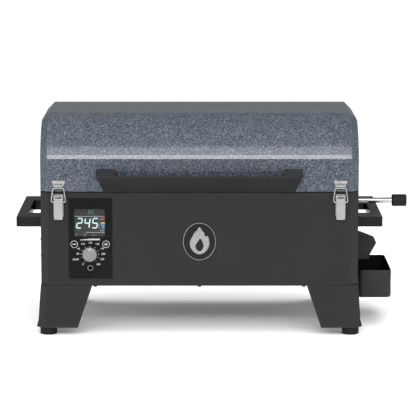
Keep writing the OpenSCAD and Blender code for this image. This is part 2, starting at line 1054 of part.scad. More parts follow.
module grease_bucket() {
  color("#2e2e30")
    place() {
      difference() {
        translate([0, 0, bucket_z])
          linear_extrude(bucket_h)
            bucket_plan(0);
        translate([0, 0, bucket_z + 1.2])
          linear_extrude(bucket_h)
            bucket_plan(1.2);
      }
      along_y(-40, 40)
        polygon([
          [bucket_x + 0.5, 108.5], [hw + 1.2, 108.5], [hw + 1.2, 103], [hw + 2.4, 103],
          [hw + 2.4, 106.9], [bucket_x + 0.5, 106.9]
        ]);
      along_y(20, 34)
        polygon([
          [bucket_x + 1, 107.5], [bucket_x + 1, 115], [bucket_x - 0.2, 115], [bucket_x - 0.2, 107.5]
        ]);
    }
}

module temp_probe() {
  color("#c4c6c8")
    place() {
      bar_z(237, 268, partition_x + 5.5, -120, 2.6);
      block([partition_x + t, -124, 240], [partition_x + 5, -116, 243]);
      block([partition_x + t, -124, 260], [partition_x + 5, -116, 263]);
    }
}

module power_inlet() {
  color("#1d1d1e")
    place()
      difference() {
        union() {
          block([-256, hd, 140], [-180, hd + 2, 172]);
          block([-252, hd - 28, 143.5], [-184, hd + 0.5, 168.5]);
        }
        block([-248, hd - 16, 147], [-220, hd + 3, 165]);
        block([-206, hd - 10, 146], [-190, hd + 3, 166]);
        bar_x(switch_x - 10, switch_x + 10, hd - 3, switch_z, 1.85);
      }
  color("#1d1d1e")
    place()
      for (i = [-1:1])
        block([-235 + 8 * i, hd - 16.5, 154], [-233 + 8 * i, hd - 4, 158]);
}

module power_switch() {
  color("#8c1f1c")
    place() {
      along_x(switch_x - 7.6, switch_x + 7.6)
        polygon([
          [hd - 6, 147.6], [hd + 2.4, 147.6], [hd + 1.2, switch_z], [hd + 4.2, 164.4],
          [hd - 6, 164.4]
        ]);
      bar_x(switch_x - 9.5, switch_x + 9.5, hd - 3, switch_z, 1.5);
    }
}

body_shell();
floor_pan();
leg_front_left();
leg_front_right();
leg_rear_left();
leg_rear_right();
rubber_feet();
side_handle_left();
side_handle_right();
control_panel();
display_lens();
controller_box();
control_knob();
button_left();
button_right();
probe_jack();
panel_screws();
badge_plate();
badge_ring();
badge_emblem();
bottom_screws();
latch_bases();
latch_lever_left();
latch_lever_right();
latch_loop_left();
latch_loop_right();
lid_keepers();
lid_shell();
lid_end_left();
lid_end_right();
lid_handle();
hinge_body_leaves();
hinge_lid_leaves();
hinge_pins();
partition();
grate_rails();
cooking_grate_left();
cooking_grate_right();
broiler_plate();
slider_plate();
slider_rod();
rod_knob();
fire_pot();
igniter();
auger_tube();
auger_screw();
auger_motor();
fan_housing();
fan_impeller();
hopper_bin();
hopper_grid();
hopper_lid();
grease_tray();
grease_chute();
bucket_bracket();
grease_bucket();
temp_probe();
power_inlet();
power_switch();
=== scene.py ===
import json
import math
import bpy
import bmesh
from mathutils import Vector, Matrix


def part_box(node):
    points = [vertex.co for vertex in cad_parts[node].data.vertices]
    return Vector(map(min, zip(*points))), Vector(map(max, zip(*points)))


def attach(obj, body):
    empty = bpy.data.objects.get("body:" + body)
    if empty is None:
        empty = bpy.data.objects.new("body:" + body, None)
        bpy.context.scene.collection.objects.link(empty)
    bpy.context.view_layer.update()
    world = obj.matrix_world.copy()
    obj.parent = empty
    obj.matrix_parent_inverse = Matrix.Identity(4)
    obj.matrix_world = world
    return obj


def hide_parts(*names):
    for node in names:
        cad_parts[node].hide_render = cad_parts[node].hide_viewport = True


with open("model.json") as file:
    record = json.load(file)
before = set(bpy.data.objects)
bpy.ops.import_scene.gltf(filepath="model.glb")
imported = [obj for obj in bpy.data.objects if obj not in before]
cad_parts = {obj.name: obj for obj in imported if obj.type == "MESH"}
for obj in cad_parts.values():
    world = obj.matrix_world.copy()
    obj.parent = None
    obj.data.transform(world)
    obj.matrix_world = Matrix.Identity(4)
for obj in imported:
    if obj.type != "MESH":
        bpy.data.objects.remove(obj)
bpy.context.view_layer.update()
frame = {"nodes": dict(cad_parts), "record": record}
NODES = frame["nodes"]
BODY_OF = {node: body for body, nodes in frame["record"]["behaviour"]["bodies"].items() for node in nodes}
SLOT_OF = {part["node"]: part["material_slot"] for part in frame["record"]["subparts"]}
MM = 0.001
scene = bpy.context.scene

# Body-centred frame: x from the middle of the lid, front wall at FRONT
lid_lo, lid_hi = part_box("lid_shell")
CX = (lid_lo.x + lid_hi.x) / 2
FRONT = lid_lo.y
BACK = lid_hi.y
CY = (FRONT + BACK) / 2


def at(x, d, z):
    """Point from millimetres: x from the body centre, d outward from the front wall, z up."""
    return Vector((CX + x * MM, FRONT - d * MM, z * MM))


# ---------------------------------------------------------------- materials
# Widths of the painted edge highlights and depth of the paint grain, in metres
COATED_HIGHLIGHT_WIDTH, METAL_HIGHLIGHT_WIDTH, HAMMERED_HIGHLIGHT_WIDTH = 0.0008, 0.0005, 0.0012
COATED_GRAIN = 0.00006


def base_material(name):
    m = bpy.data.materials.new(name)
    m.use_nodes = True
    t = m.node_tree
    return m, t, t.nodes["Principled BSDF"]


def ramp(tree, fac, stops):
    r = tree.nodes.new("ShaderNodeValToRGB")
    e = r.color_ramp.elements
    while len(e) < len(stops):
        e.new(0.5)
    for el, (p, c) in zip(e, stops):
        el.position = p
        el.color = (*c, 1) if len(c) == 3 else c
    tree.links.new(fac, r.inputs["Fac"])
    return r.outputs["Color"]


def noise(tree, co, scale, detail=4.0, rough=0.5):
    n = tree.nodes.new("ShaderNodeTexNoise")
    n.inputs["Scale"].default_value = scale
    n.inputs["Detail"].default_value = detail
    n.inputs["Roughness"].default_value = rough
    tree.links.new(co, n.inputs["Vector"])
    return n.outputs["Fac"]


def remap(tree, value, a, b, c, d):
    n = tree.nodes.new("ShaderNodeMapRange")
    for i, v in enumerate((a, b, c, d)):
        n.inputs[i + 1].default_value = v
    tree.links.new(value, n.inputs[0])
    return n.outputs[0]


def multiply_add(tree, value, factor, addend):
    n = tree.nodes.new("ShaderNodeMath")
    n.operation = "MULTIPLY_ADD"
    n.inputs[1].default_value = factor
    tree.links.new(value, n.inputs[0])
    tree.links.new(addend, n.inputs[2])
    return n.outputs[0]


def mix_color(tree, fac, a, b, blend="MIX"):
    n = tree.nodes.new("ShaderNodeMix")
    n.data_type = "RGBA"
    n.blend_type = blend
    for sock, v in ((n.inputs[0], fac), (n.inputs[6], a), (n.inputs[7], b)):
        if isinstance(v, bpy.types.NodeSocket):
            tree.links.new(v, sock)
        elif isinstance(v, (int, float)):
            sock.default_value = v
        else:
            sock.default_value = (*v, 1)
    return n.outputs[2]


def edge_highlight_mask(tree, radius):
    """1 on edges, where the painted highlight goes; 0 on flats."""
    b = tree.nodes.new("ShaderNodeBevel")
    b.samples = 4
    b.inputs["Radius"].default_value = radius
    g = tree.nodes.new("ShaderNodeNewGeometry")
    d = tree.nodes.new("ShaderNodeVectorMath")
    d.operation = "DOT_PRODUCT"
    tree.links.new(b.outputs[0], d.inputs[0])
    tree.links.new(g.outputs["Normal"], d.inputs[1])
    return remap(tree, d.outputs["Value"], 0.98, 0.75, 0.0, 1.0)


def bump(tree, height, strength, distance):
    n = tree.nodes.new("ShaderNodeBump")
    n.inputs["Strength"].default_value = strength
    n.inputs["Distance"].default_value = distance
    tree.links.new(height, n.inputs["Height"])
    return n.outputs[0]


def coords(tree, stretch=None):
    """Object coordinates in metres, optionally scaled per axis."""
    tc = tree.nodes.new("ShaderNodeTexCoord")
    if stretch is None:
        return tc.outputs["Object"]
    mp = tree.nodes.new("ShaderNodeMapping")
    mp.inputs["Scale"].default_value = stretch
    tree.links.new(tc.outputs["Object"], mp.inputs["Vector"])
    return mp.outputs[0]


def coated(name, dark, light, rough, grain, grain_s, cloud=9, edge=None, specular=0.5, coat=0.0):
    """Painted, moulded or cast surface: cloudy colour, fine grain and a painted highlight along the edges.
    """
    m, t, p = base_material(name)
    co = coords(t)
    big = noise(t, co, cloud, 5, 0.6)
    mid = noise(t, co, grain * 0.35, 3, 0.6)
    small = noise(t, co, grain, 4, 0.6)
    mixed = multiply_add(t, mid, 0.45, remap(t, big, 0.3, 0.7, 0.0, 0.55))
    color = ramp(t, mixed, [(0.0, dark), (1.0, light)])
    # Painted highlight: a lighter colour along the edges, broken up by noise.
    if edge is not None:
        mask = edge_highlight_mask(t, COATED_HIGHLIGHT_WIDTH)
        highlight_breakup = remap(t, noise(t, co, 260, 5, 0.7), 0.35, 0.75, 0.15, 1.0)
        painted_edge_highlight = t.nodes.new("ShaderNodeMath")
        painted_edge_highlight.operation = "MULTIPLY"
        t.links.new(mask, painted_edge_highlight.inputs[0])
        t.links.new(highlight_breakup, painted_edge_highlight.inputs[1])
        color = mix_color(t, painted_edge_highlight.outputs[0], color, edge)
    t.links.new(color, p.inputs["Base Color"])
    t.links.new(remap(t, mid, 0.3, 0.7, *rough), p.inputs["Roughness"])
    t.links.new(bump(t, small, grain_s, COATED_GRAIN), p.inputs["Normal"])
    p.inputs["Specular IOR Level"].default_value = specular
    p.inputs["Coat Weight"].default_value = coat
    p.inputs["Coat Roughness"].default_value = 0.2
    return m


def hammertone(name):
    """Blue-grey hammered paint: small light flecks in a dark net, with dimples."""
    m, t, p = base_material(name)
    co = coords(t)
    cells = t.nodes.new("ShaderNodeTexVoronoi")
    cells.feature = "SMOOTH_F1"
    cells.inputs["Scale"].default_value = 330
    cells.inputs["Smoothness"].default_value = 0.45
    warp = t.nodes.new("ShaderNodeTexNoise")
    warp.inputs["Scale"].default_value = 180
    warp.inputs["Detail"].default_value = 3
    t.links.new(co, warp.inputs["Vector"])
    push = t.nodes.new("ShaderNodeVectorMath")
    push.operation = "MULTIPLY_ADD"
    push.inputs[1].default_value = (0.004, 0.004, 0.004)
    t.links.new(warp.outputs["Color"], push.inputs[0])
    t.links.new(co, push.inputs[2])
    t.links.new(push.outputs[0], cells.inputs["Vector"])
    fleck = noise(t, co, 420, 3, 0.65)
    slow = noise(t, co, 55, 3, 0.6)
    cloud = noise(t, co, 7, 3, 0.5)
    net = remap(t, cells.outputs["Distance"], 0.1, 0.75, 0.22, -0.12)
    flecks = multiply_add(t, remap(t, fleck, 0.32, 0.68, 0.0, 1.0), 0.85, net)
    color = ramp(t, multiply_add(t, slow, 0.3, flecks), [
        (0.12, (0.009, 0.013, 0.021)), (0.45, (0.027, 0.035, 0.051)),
        (0.72, (0.058, 0.070, 0.091)), (1.0, (0.145, 0.162, 0.188))])
    tint = ramp(t, cloud, [(0.3, (0.94, 0.97, 1.0)), (0.7, (1.0, 1.0, 0.98))])
    color = mix_color(t, 1.0, color, tint, "MULTIPLY")
    # Painted highlight: a lighter colour along the edges.
    color = mix_color(t, edge_highlight_mask(t, HAMMERED_HIGHLIGHT_WIDTH), color, (0.12, 0.13, 0.15))
    t.links.new(color, p.inputs["Base Color"])
    t.links.new(remap(t, fleck, 0.3, 0.7, 0.3, 0.42), p.inputs["Roughness"])
    height = multiply_add(t, fleck, 0.5, cells.outputs["Distance"])
    t.links.new(bump(t, height, 0.55, 0.00055), p.inputs["Normal"])
    t.links.new(bump(t, height, 0.25, 0.0003), p.inputs["Coat Normal"])
    p.inputs["Metallic"].default_value = 0.1
    p.inputs["Specular IOR Level"].default_value = 0.15
    p.inputs["Coat Weight"].default_value = 1.0
    p.inputs["Coat Roughness"].default_value = 0.13
    return m


def metal(name, dark, light, rough, stretch, grain_h=0.00003, edge=(0.75, 0.75, 0.76), metallic=1.0,
          spots=0.0):
    """Brushed, plated or rolled metal with drawn grain, smudges and a painted highlight along the edges."""
    m, t, p = base_material(name)
    co = coords(t)
    drawn = coords(t, stretch)
    grain = noise(t, drawn, 1.0, 4, 0.6)
    smudge = noise(t, co, 30, 4, 0.6)
    color = ramp(t, grain, [(0.3, dark), (0.7, light)])
    stain = ramp(t, smudge, [(0.35, (0.8, 0.79, 0.77)), (0.6, (1.0, 1.0, 1.0))])
    color = mix_color(t, 0.5 + spots * 0.5, color, stain, "MULTIPLY")
    # Painted highlight: a lighter colour along the edges.
    color = mix_color(t, edge_highlight_mask(t, METAL_HIGHLIGHT_WIDTH), color, edge)
    t.links.new(color, p.inputs["Base Color"])
    smudged = multiply_add(t, smudge, 0.12, remap(t, grain, 0.3, 0.7, *rough))
    t.links.new(smudged, p.inputs["Roughness"])
    t.links.new(bump(t, grain, 0.25, grain_h), p.inputs["Normal"])
    p.inputs["Metallic"].default_value = metallic
    return m


def glowing(name, color, strength):
    """Display segment, or print given a painted glow: gives off a little light, slightly uneven."""
    m, t, p = base_material(name)
    c = ramp(t, noise(t, coords(t), 900, 2, 0.5), [
        (0.3, tuple(v * 0.86 for v in color)), (0.7, color)])
    t.links.new(c, p.inputs["Base Color"])
    t.links.new(c, p.inputs["Emission Color"])
    p.inputs["Emission Strength"].default_value = strength
    p.inputs["Roughness"].default_value = 0.4
    return m


def glass(name):
    """Thin smoked window: mostly clear, a little gloss and haze."""
    m, t, p = base_material(name)
    co = coords(t)
    t.links.new(ramp(t, noise(t, co, 60, 3, 0.5), [
        (0.3, (0.010, 0.011, 0.012)), (0.7, (0.016, 0.017, 0.018))]), p.inputs["Base Color"])
    t.links.new(remap(t, noise(t, co, 300, 4, 0.6), 0.3, 0.7, 0.04, 0.1), p.inputs["Roughness"])
    p.inputs["Alpha"].default_value = 0.16
    return m


# edge= is the colour of the painted highlight along each piece's edges.
M = {
    "lid": hammertone("hammertone_blue_grey"),
    "body": coated("powder_coat_black", (0.0098, 0.0098, 0.0101), (0.0147, 0.0147, 0.015),
                   rough=(0.48, 0.6), edge=(0.06, 0.06, 0.06), grain=1500, grain_s=0.4, specular=0.18),
    "handle": coated("satin_black", (0.010, 0.010, 0.0105), (0.016, 0.016, 0.0165),
                     rough=(0.38, 0.5), edge=(0.07, 0.07, 0.07), grain=1700, grain_s=0.3, specular=0.2),
    "grip": coated("side_handle_black", (0.0036, 0.0036, 0.0038), (0.0062, 0.0062, 0.0064),
                   rough=(0.24, 0.34), edge=(0.05, 0.05, 0.05), grain=1700, grain_s=0.2, specular=0.17),
    "panel": coated("panel_gloss_black", (0.0036, 0.0036, 0.004), (0.0056, 0.0056, 0.006),
                    rough=(0.2, 0.3), edge=(0.03, 0.03, 0.03), grain=2200, grain_s=0.12, cloud=20,
                    specular=0.08),
    "plastic": coated("moulded_black", (0.0045, 0.0045, 0.0045), (0.008, 0.008, 0.008),
                      rough=(0.42, 0.55), edge=(0.035, 0.035, 0.035), grain=1900, grain_s=0.45,
                      specular=0.16),
    "rubber": coated("foot_rubber_black", (0.007, 0.007, 0.007), (0.012, 0.012, 0.0117),
                     rough=(0.6, 0.75), edge=(0.03, 0.03, 0.03), grain=1200, grain_s=0.5, specular=0.15),
    "zinc": metal("zinc_plate", (0.29, 0.29, 0.285), (0.42, 0.42, 0.41), rough=(0.28, 0.42),
                  stretch=(300, 300, 900), edge=(0.66, 0.66, 0.66)),
    "steel": metal("galvanised_sheet", (0.30, 0.31, 0.32), (0.46, 0.47, 0.48), rough=(0.35, 0.5),
                   stretch=(90, 90, 90), spots=0.6),
    "fire": metal("heat_darkened_steel", (0.10, 0.085, 0.075), (0.22, 0.20, 0.18), rough=(0.45, 0.65),
                  stretch=(70, 70, 70), edge=(0.3, 0.26, 0.22), spots=1.0),
    "chrome": metal("polished_rod", (0.38, 0.38, 0.38), (0.48, 0.48, 0.48), rough=(0.10, 0.18),
                    stretch=(20, 900, 900), grain_h=0.00001),
    "enamel": coated("porcelain_enamel", (0.008, 0.008, 0.009), (0.016, 0.016, 0.017),
                     rough=(0.15, 0.28), edge=(0.05, 0.05, 0.05), grain=700, grain_s=0.25, coat=0.5),
    "silver": metal("silver_knob", (0.17, 0.17, 0.166), (0.27, 0.27, 0.265), rough=(0.3, 0.42),
                    stretch=(500, 60, 500), metallic=0.9, edge=(0.5, 0.5, 0.5)),
    "emblem": metal("emblem_silver", (0.23, 0.23, 0.23), (0.33, 0.33, 0.33), rough=(0.3, 0.45),
                    stretch=(500, 500, 500), metallic=0.85, edge=(0.45, 0.45, 0.45)),
    # Painted light: the white print glows a little, though print gives off no light.
    "print": glowing("white_print_painted_glow", (0.55, 0.55, 0.55), 0.12),
    "red": coated("rocker_red", (0.25, 0.012, 0.01), (0.36, 0.02, 0.016), rough=(0.25, 0.35),
                  edge=(0.5, 0.08, 0.06), grain=1500, grain_s=0.2),
    "badge": coated("badge_gloss_black", (0.005, 0.005, 0.006), (0.010, 0.010, 0.011), rough=(0.25, 0.35),
                    grain=2200, grain_s=0.12, cloud=30, specular=0.15),
    "bucket": coated("bucket_black", (0.0115, 0.0115, 0.012), (0.018, 0.018, 0.0185), rough=(0.42, 0.52),
                     edge=(0.08, 0.08, 0.08), grain=1600, grain_s=0.35, specular=0.2),
    # Painted light: a lighter copy of the black paint, brightening the chute where the side handle shades
    # it.
    "chute": coated("chute_black_painted_light", (0.024, 0.024, 0.0245), (0.034, 0.034, 0.0345), rough=(0.48, 0.6),
                    edge=(0.06, 0.06, 0.06), grain=1500, grain_s=0.4, specular=0.18),
    # Painted shade for the inside of the grease bucket; also the real black of the panel screws.
    "shade_and_screw_black": coated("painted_shade_and_screw_black", (0.002, 0.002, 0.002), (0.004, 0.004, 0.004),
                        rough=(0.6, 0.75), grain=1600, grain_s=0.35, specular=0.08),
    "window": glass("display_window_glass"),
    "lcd": coated("lcd_backing", (0.013, 0.012, 0.0135), (0.018, 0.0165, 0.018), rough=(0.3, 0.4),
                  grain=2500, grain_s=0.1, cloud=60),
    "digit": glowing("lcd_digit", (0.60, 0.84, 0.84), 0.4),
    "teal": glowing("lcd_teal", (0.05, 0.17, 0.21), 0.5),
    "lcd_white": glowing("lcd_line", (0.42, 0.40, 0.41), 0.35),
    "lcd_red": glowing("lcd_red", (0.26, 0.045, 0.045), 0.45),
    "lcd_yellow": glowing("lcd_yellow", (0.50, 0.52, 0.14), 0.5),
    "lcd_blue": glowing("lcd_blue", (0.06, 0.24, 0.38), 0.5),
    "lcd_dim": glowing("lcd_dim", (0.10, 0.075, 0.08), 0.3),
}


# ---------------------------------------------------------------- mesh tools
def add_object(name, data, mat, body, replaces=()):
    """New object in the frame: it rides a body and may stand for CAD nodes."""
    ob = bpy.data.objects.new(name, data)
    scene.collection.objects.link(ob)
    data.materials.clear()
    data.materials.append(mat)
    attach(ob, body)
    if replaces:
        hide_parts(*replaces)
    return ob


def finish_mesh(ob, bevel=0.0, segs=2, smooth=30):
    """Softened corners where bevel is set, else smooth shading up to an angle."""
    me = ob.data
    me.polygons.foreach_set("use_smooth", [True] * len(me.polygons))
    if bevel > 0:
        b = ob.modifiers.new("edge", "BEVEL")
        b.width = bevel
        b.segments = segs
        b.limit_method = "ANGLE"
        b.angle_limit = math.radians(30)
        b.use_clamp_overlap = True
        w = ob.modifiers.new("normals", "WEIGHTED_NORMAL")
        w.keep_sharp = True
        w.weight = 80
    else:
        me.set_sharp_from_angle(angle=math.radians(smooth))
    return ob


def mesh_piece(name, verts, faces, mat, body, replaces=(), bevel=0.0, smooth=30):
    """Object from points and faces, with all faces turned outward."""
    me = bpy.data.meshes.new(name)
    me.from_pydata([tuple(v) for v in verts], [], faces)
    bm = bmesh.new()
    bm.from_mesh(me)
    bmesh.ops.recalc_face_normals(bm, faces=bm.faces)
    bm.to_mesh(me)
    bm.free()
    ob = add_object(name, me, mat, body, replaces)
    return finish_mesh(ob, bevel, smooth=smooth)


def drawn_area(bm):
    """Area as drawn: the triangles that the faces are cut into, not the faces' own outlines."""
    return sum(((t[1].vert.co - t[0].vert.co).cross(t[2].vert.co - t[0].vert.co)).length / 2
               for t in bm.calc_loop_triangles())


# Corners closer than WELD metres are one; FLAT degrees still count as one flat face
WELD, FLAT, AREA_TOLERANCE = 2e-6, 0.6, 0.002


def skin(node, mat, bevel, segs):
    """Clean copy of a CAD node with welded corners, whole flat faces and softened edges."""
    src = NODES[node]
    for merge in (True, False):
        bm = bmesh.new()
        bm.from_mesh(src.data)
        bmesh.ops.remove_doubles(bm, verts=bm.verts, dist=WELD)
        true_area = drawn_area(bm)
        if merge:
            bmesh.ops.dissolve_limit(bm, angle_limit=math.radians(FLAT), use_dissolve_boundaries=False,
                                     verts=bm.verts, edges=bm.edges, delimit=set())
        bmesh.ops.recalc_face_normals(bm, faces=bm.faces)
        if abs(drawn_area(bm) / true_area - 1) < AREA_TOLERANCE:
            break
        print("flat faces kept in triangles:", node, drawn_area(bm) / true_area)
        bm.free()
    me = bpy.data.meshes.new(node + "_skin")
    bm.to_mesh(me)
    bm.free()
    ob = add_object(node + "_skin", me, mat, BODY_OF[node], (node,))
    return finish_mesh(ob, bevel, segs)


def lathe(name, centre, axis, profile, mat, body, replaces=(), steps=64, ridge=0.0,
          ridges=0, smooth=30, span=(None, None)):
    """Profile of (distance along axis, radius) turned about an axis; optional fine knurl."""
    axis = Vector(axis).normalized()
    side = axis.orthogonal().normalized()
    up = axis.cross(side)
    verts, faces = [], []
    for k, (h, r) in enumerate(profile):
        for i in range(steps):
            a = 2 * math.pi * i / steps
            rr = r
            if ridges and span[0] is not None and span[0] <= k <= span[1]:
                rr = r - ridge * (0.5 + 0.5 * math.cos(a * ridges))
            verts.append(centre + axis * h + (side * math.cos(a) + up * math.sin(a)) * rr)
    n = len(profile)
    for k in range(n - 1):
        for i in range(steps):
            j = (i + 1) % steps
            faces.append((k * steps + i, k * steps + j, (k + 1) * steps + j, (k + 1) * steps + i))
    faces.append(tuple(range(steps))[::-1])
    faces.append(tuple((n - 1) * steps + i for i in range(steps)))
    return mesh_piece(name, verts, faces, mat, body, replaces, smooth=smooth)


def many_plates(name, outlines, d0, d1, mat, body="grill", slot=None, replaces=(), bevel=0.0):
    """Outlines in x and z (mm, body-centred), each drawn from d0 to d1 in front of the front wall."""
    verts, faces = [], []
    for outline in outlines:
        s = len(verts)
        n = len(outline)
        verts += [at(x, d0, z) for x, z in outline] + [at(x, d1, z) for x, z in outline]
        faces += [tuple(s + i for i in range(n)), tuple(s + i for i in range(2 * n - 1, n - 1, -1))]
        faces += [(s + i, s + (i + 1) % n, s + n + (i + 1) % n, s + n + i) for i in range(n)]
    return mesh_piece(name, verts, faces, mat, body, replaces, bevel)


def plate(name, outline, *place, **finish):
    return many_plates(name, [outline], *place, **finish)


def rect(x0, z0, x1, z1):
    return [(x0, z0), (x1, z0), (x1, z1), (x0, z1)]


def ring_piece(name, cx, cz, r_in, r_out, d0, d1, mat, body):
    """Flat ring in the front plane."""
    steps = 64
    verts, faces = [], []
    for r, d in ((r_in, d0), (r_out, d0), (r_out, d1), (r_in, d1)):
        for i in range(steps):
            a = 2 * math.pi * i / steps
            verts.append(at(cx + r * math.cos(a), d, cz + r * math.sin(a)))
    for q in range(4):
        p = (q + 1) % 4
        for i in range(steps):
            j = (i + 1) % steps
            faces.append((q * steps + i, q * steps + j, p * steps + j, p * steps + i))
    return mesh_piece(name, verts, faces, mat, body)


def curve_piece(name, points, radius, mat, body, replaces=(), closed=False):
    """Round wire along one path, or along each path of a list."""
    cu = bpy.data.curves.new(name, "CURVE")
    cu.dimensions = "3D"
    cu.bevel_depth = radius
    cu.bevel_resolution = 6
    cu.use_fill_caps = True
    paths = points if isinstance(points[0][0], (list, tuple, Vector)) else [points]
    for path in paths:
        s = cu.splines.new("POLY")
        s.points.add(len(path) - 1)
        for sp, p in zip(s.points, path):
            sp.co = (*p, 1)
        s.use_cyclic_u = closed
        s.use_smooth = True
    return add_object(name, cu, mat, body, replaces)


def rounded(points, radius):
    """Polyline with its inner corners rounded."""
    steps = 6
    pts = [Vector(p) for p in points]
    out = [pts[0]]
    for a, b, c in zip(pts, pts[1:], pts[2:]):
        r = min(radius, (a - b).length * 0.45, (c - b).length * 0.45)
        p0 = b + (a - b).normalized() * r
        p1 = b + (c - b).normalized() * r
        for i in range(steps + 1):
            t = i / steps
            out.append(p0.lerp(b, t).lerp(b.lerp(p1, t), t))
    out.append(pts[-1])
    return out


def label(name, text, x, z, d, height, mat):
    """Raised print on the front of the body."""
    cu = bpy.data.curves.new(name, "FONT")
    cu.body = text
    cu.size = height * MM * 1.38
    cu.align_x = "CENTER"
    cu.align_y = "CENTER"
    cu.extrude = 0.00006
    cu.resolution_u = 3
    ob = bpy.data.objects.new(name, cu)
    scene.collection.objects.link(ob)
    cu.materials.append(mat)
    ob.matrix_world = Matrix.Translation(at(x, d, z)) @ Matrix.Rotation(math.radians(90), 4, "X")
    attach(ob, "grill")
    return ob


def span(node):
    """Box of a CAD node in the body-centred millimetres of at(): x0, x1, d0, d1, z0, z1."""
    lo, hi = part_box(node)
    return ((lo.x - CX) / MM, (hi.x - CX) / MM, (FRONT - hi.y) / MM, (FRONT - lo.y) / MM,
            lo.z / MM, hi.z / MM)


def loft(name, rings, mat, body, replaces=(), bevel=0.0, smooth=30, caps=True,
         closed=False):
    """Skin over rings of points that all have the same count."""
    n = len(rings[0])
    verts = [p for ring in rings for p in ring]
    faces = []
    for k in range(len(rings) - (0 if closed else 1)):
        m = (k + 1) % len(rings)
        for i in range(n):
            j = (i + 1) % n
            faces.append((k * n + i, k * n + j, m * n + j, m * n + i))
    if caps and not closed:
        faces.append(tuple(range(n))[::-1])
        faces.append(tuple((len(rings) - 1) * n + i for i in range(n)))
    return mesh_piece(name, verts, faces, mat, body, replaces, bevel, smooth=smooth)


def turned_ring(name, centre, axis, profile, mat, body, replaces=()):
    """Closed profile of (distance along axis, radius) turned about an axis."""
    steps = 64
    axis = Vector(axis).normalized()
    side = axis.orthogonal().normalized()
    up = axis.cross(side)
    rings = []
    for h, r in profile:
        rings.append([centre + axis * h + (side * math.cos(a) + up * math.sin(a)) * r
                      for a in (2 * math.pi * i / steps for i in range(steps))])
    return loft(name, rings, mat, body, replaces, smooth=40, caps=False, closed=True)


def arc_points(cx, cz, r, a0, a1, steps=6):
    return [(cx + r * math.cos(math.radians(a0 + (a1 - a0) * i / steps)),
             cz + r * math.sin(math.radians(a0 + (a1 - a0) * i / steps))) for i in range(steps + 1)]


def round_rect(x0, z0, x1, z1, r, steps=5):
    return (arc_points(x1 - r, z1 - r, r, 0, 90, steps) + arc_points(x0 + r, z1 - r, r, 90, 180, steps)
            + arc_points(x0 + r, z0 + r, r, 180, 270, steps)
            + arc_points(x1 - r, z0 + r, r, 270, 360, steps))


# ---------------------------------------------------------------- sheet-metal and inner pieces
MATERIAL_OF = {
    "hammertone_paint": "lid", "black_paint": "body", "handle_paint": "handle", "zinc_steel": "zinc",
    "plain_steel": "steel", "fire_steel": "fire", "chrome_rod": "chrome", "black_enamel": "enamel",
    "panel_plastic": "panel", "black_plastic": "plastic", "silver_plastic": "silver",
    "display_glass": "window", "foot_rubber": "rubber", "white_plastic": "print", "red_plastic": "red",
}
# Width in metres of the softened edges of each CAD piece that keeps its shape
SOFT_EDGE = {
    "body_shell": 0.0006, "floor_pan": 0.0004, "control_panel": 0.0006, "lid_shell": 0.0005,
    "lid_end_left": 0.0005, "lid_end_right": 0.0005, "side_handle_left": 0.0014,
    "side_handle_right": 0.0014, "leg_front_left": 0.0007, "leg_front_right": 0.0007,
    "leg_rear_left": 0.0007, "leg_rear_right": 0.0007, "controller_box": 0.0008, "fan_housing": 0.0008,
    "auger_motor": 0.0015, "power_inlet": 0.0006, "power_switch": 0.0006, "hinge_pins": 0.0005,
    "hinge_body_leaves": 0.0004, "hinge_lid_leaves": 0.0004, "partition": 0.0003, "grate_rails": 0.0004,
    "broiler_plate": 0.0004, "slider_plate": 0.0004, "hopper_bin": 0.0004, "hopper_grid": 0.0005,
    "hopper_lid": 0.0005, "grease_tray": 0.0004, "bucket_bracket": 0.0005, "latch_bases": 0.0004,
    "slider_rod": 0.0006, "fire_pot": 0.0005, "igniter": 0.0005, "auger_tube": 0.0003,
    "auger_screw": 0.0, "fan_impeller": 0.0003, "temp_probe": 0.0004, "panel_screws": 0.0002,
    "bottom_screws": 0.0003,
}
# Smallest fold, in degrees, that stays a sharp line on the lid
CRISP = {"lid_shell": 7, "lid_end_left": 9, "lid_end_right": 9}
for node, edge in SOFT_EDGE.items():
    look = "grip" if node.startswith("side_handle") else MATERIAL_OF[SLOT_OF[node]]
    # The black panel screws share the darkest material, which also paints the shade inside the bucket.
    look = "shade_and_screw_black" if node == "panel_screws" else look
    piece = skin(node, M[look], bevel=edge, segs=3 if edge > 0.001 else 2)
    if node in CRISP:
        piece.data.set_sharp_from_angle(angle=math.radians(CRISP[node]))

# ---------------------------------------------------------------- lid handle
# A shelf slopes down from the lid to a fold; the front drops from the fold and narrows to its foot.
hx0, hx1, _, hd1, hz0, hz1 = span("lid_handle")
SHELF_DROP, HANDLE_SHEET = 10.5, 1.6
LUG_LEFT, LUG_RIGHT, SHELF_RIM = 37.5, 35.5, 5.0
SHELF_X = (hx0, hx0 + LUG_LEFT, hx1 - LUG_RIGHT, hx1)
SHELF_D = (0.0, hd1 - SHELF_RIM, hd1)
SHELF_CELLS = [(0, 0), (0, 1), (1, 1), (2, 0), (2, 1)]


def shelf_corner(i, j, under):
    return (under * len(SHELF_X) + i) * len(SHELF_D) + j


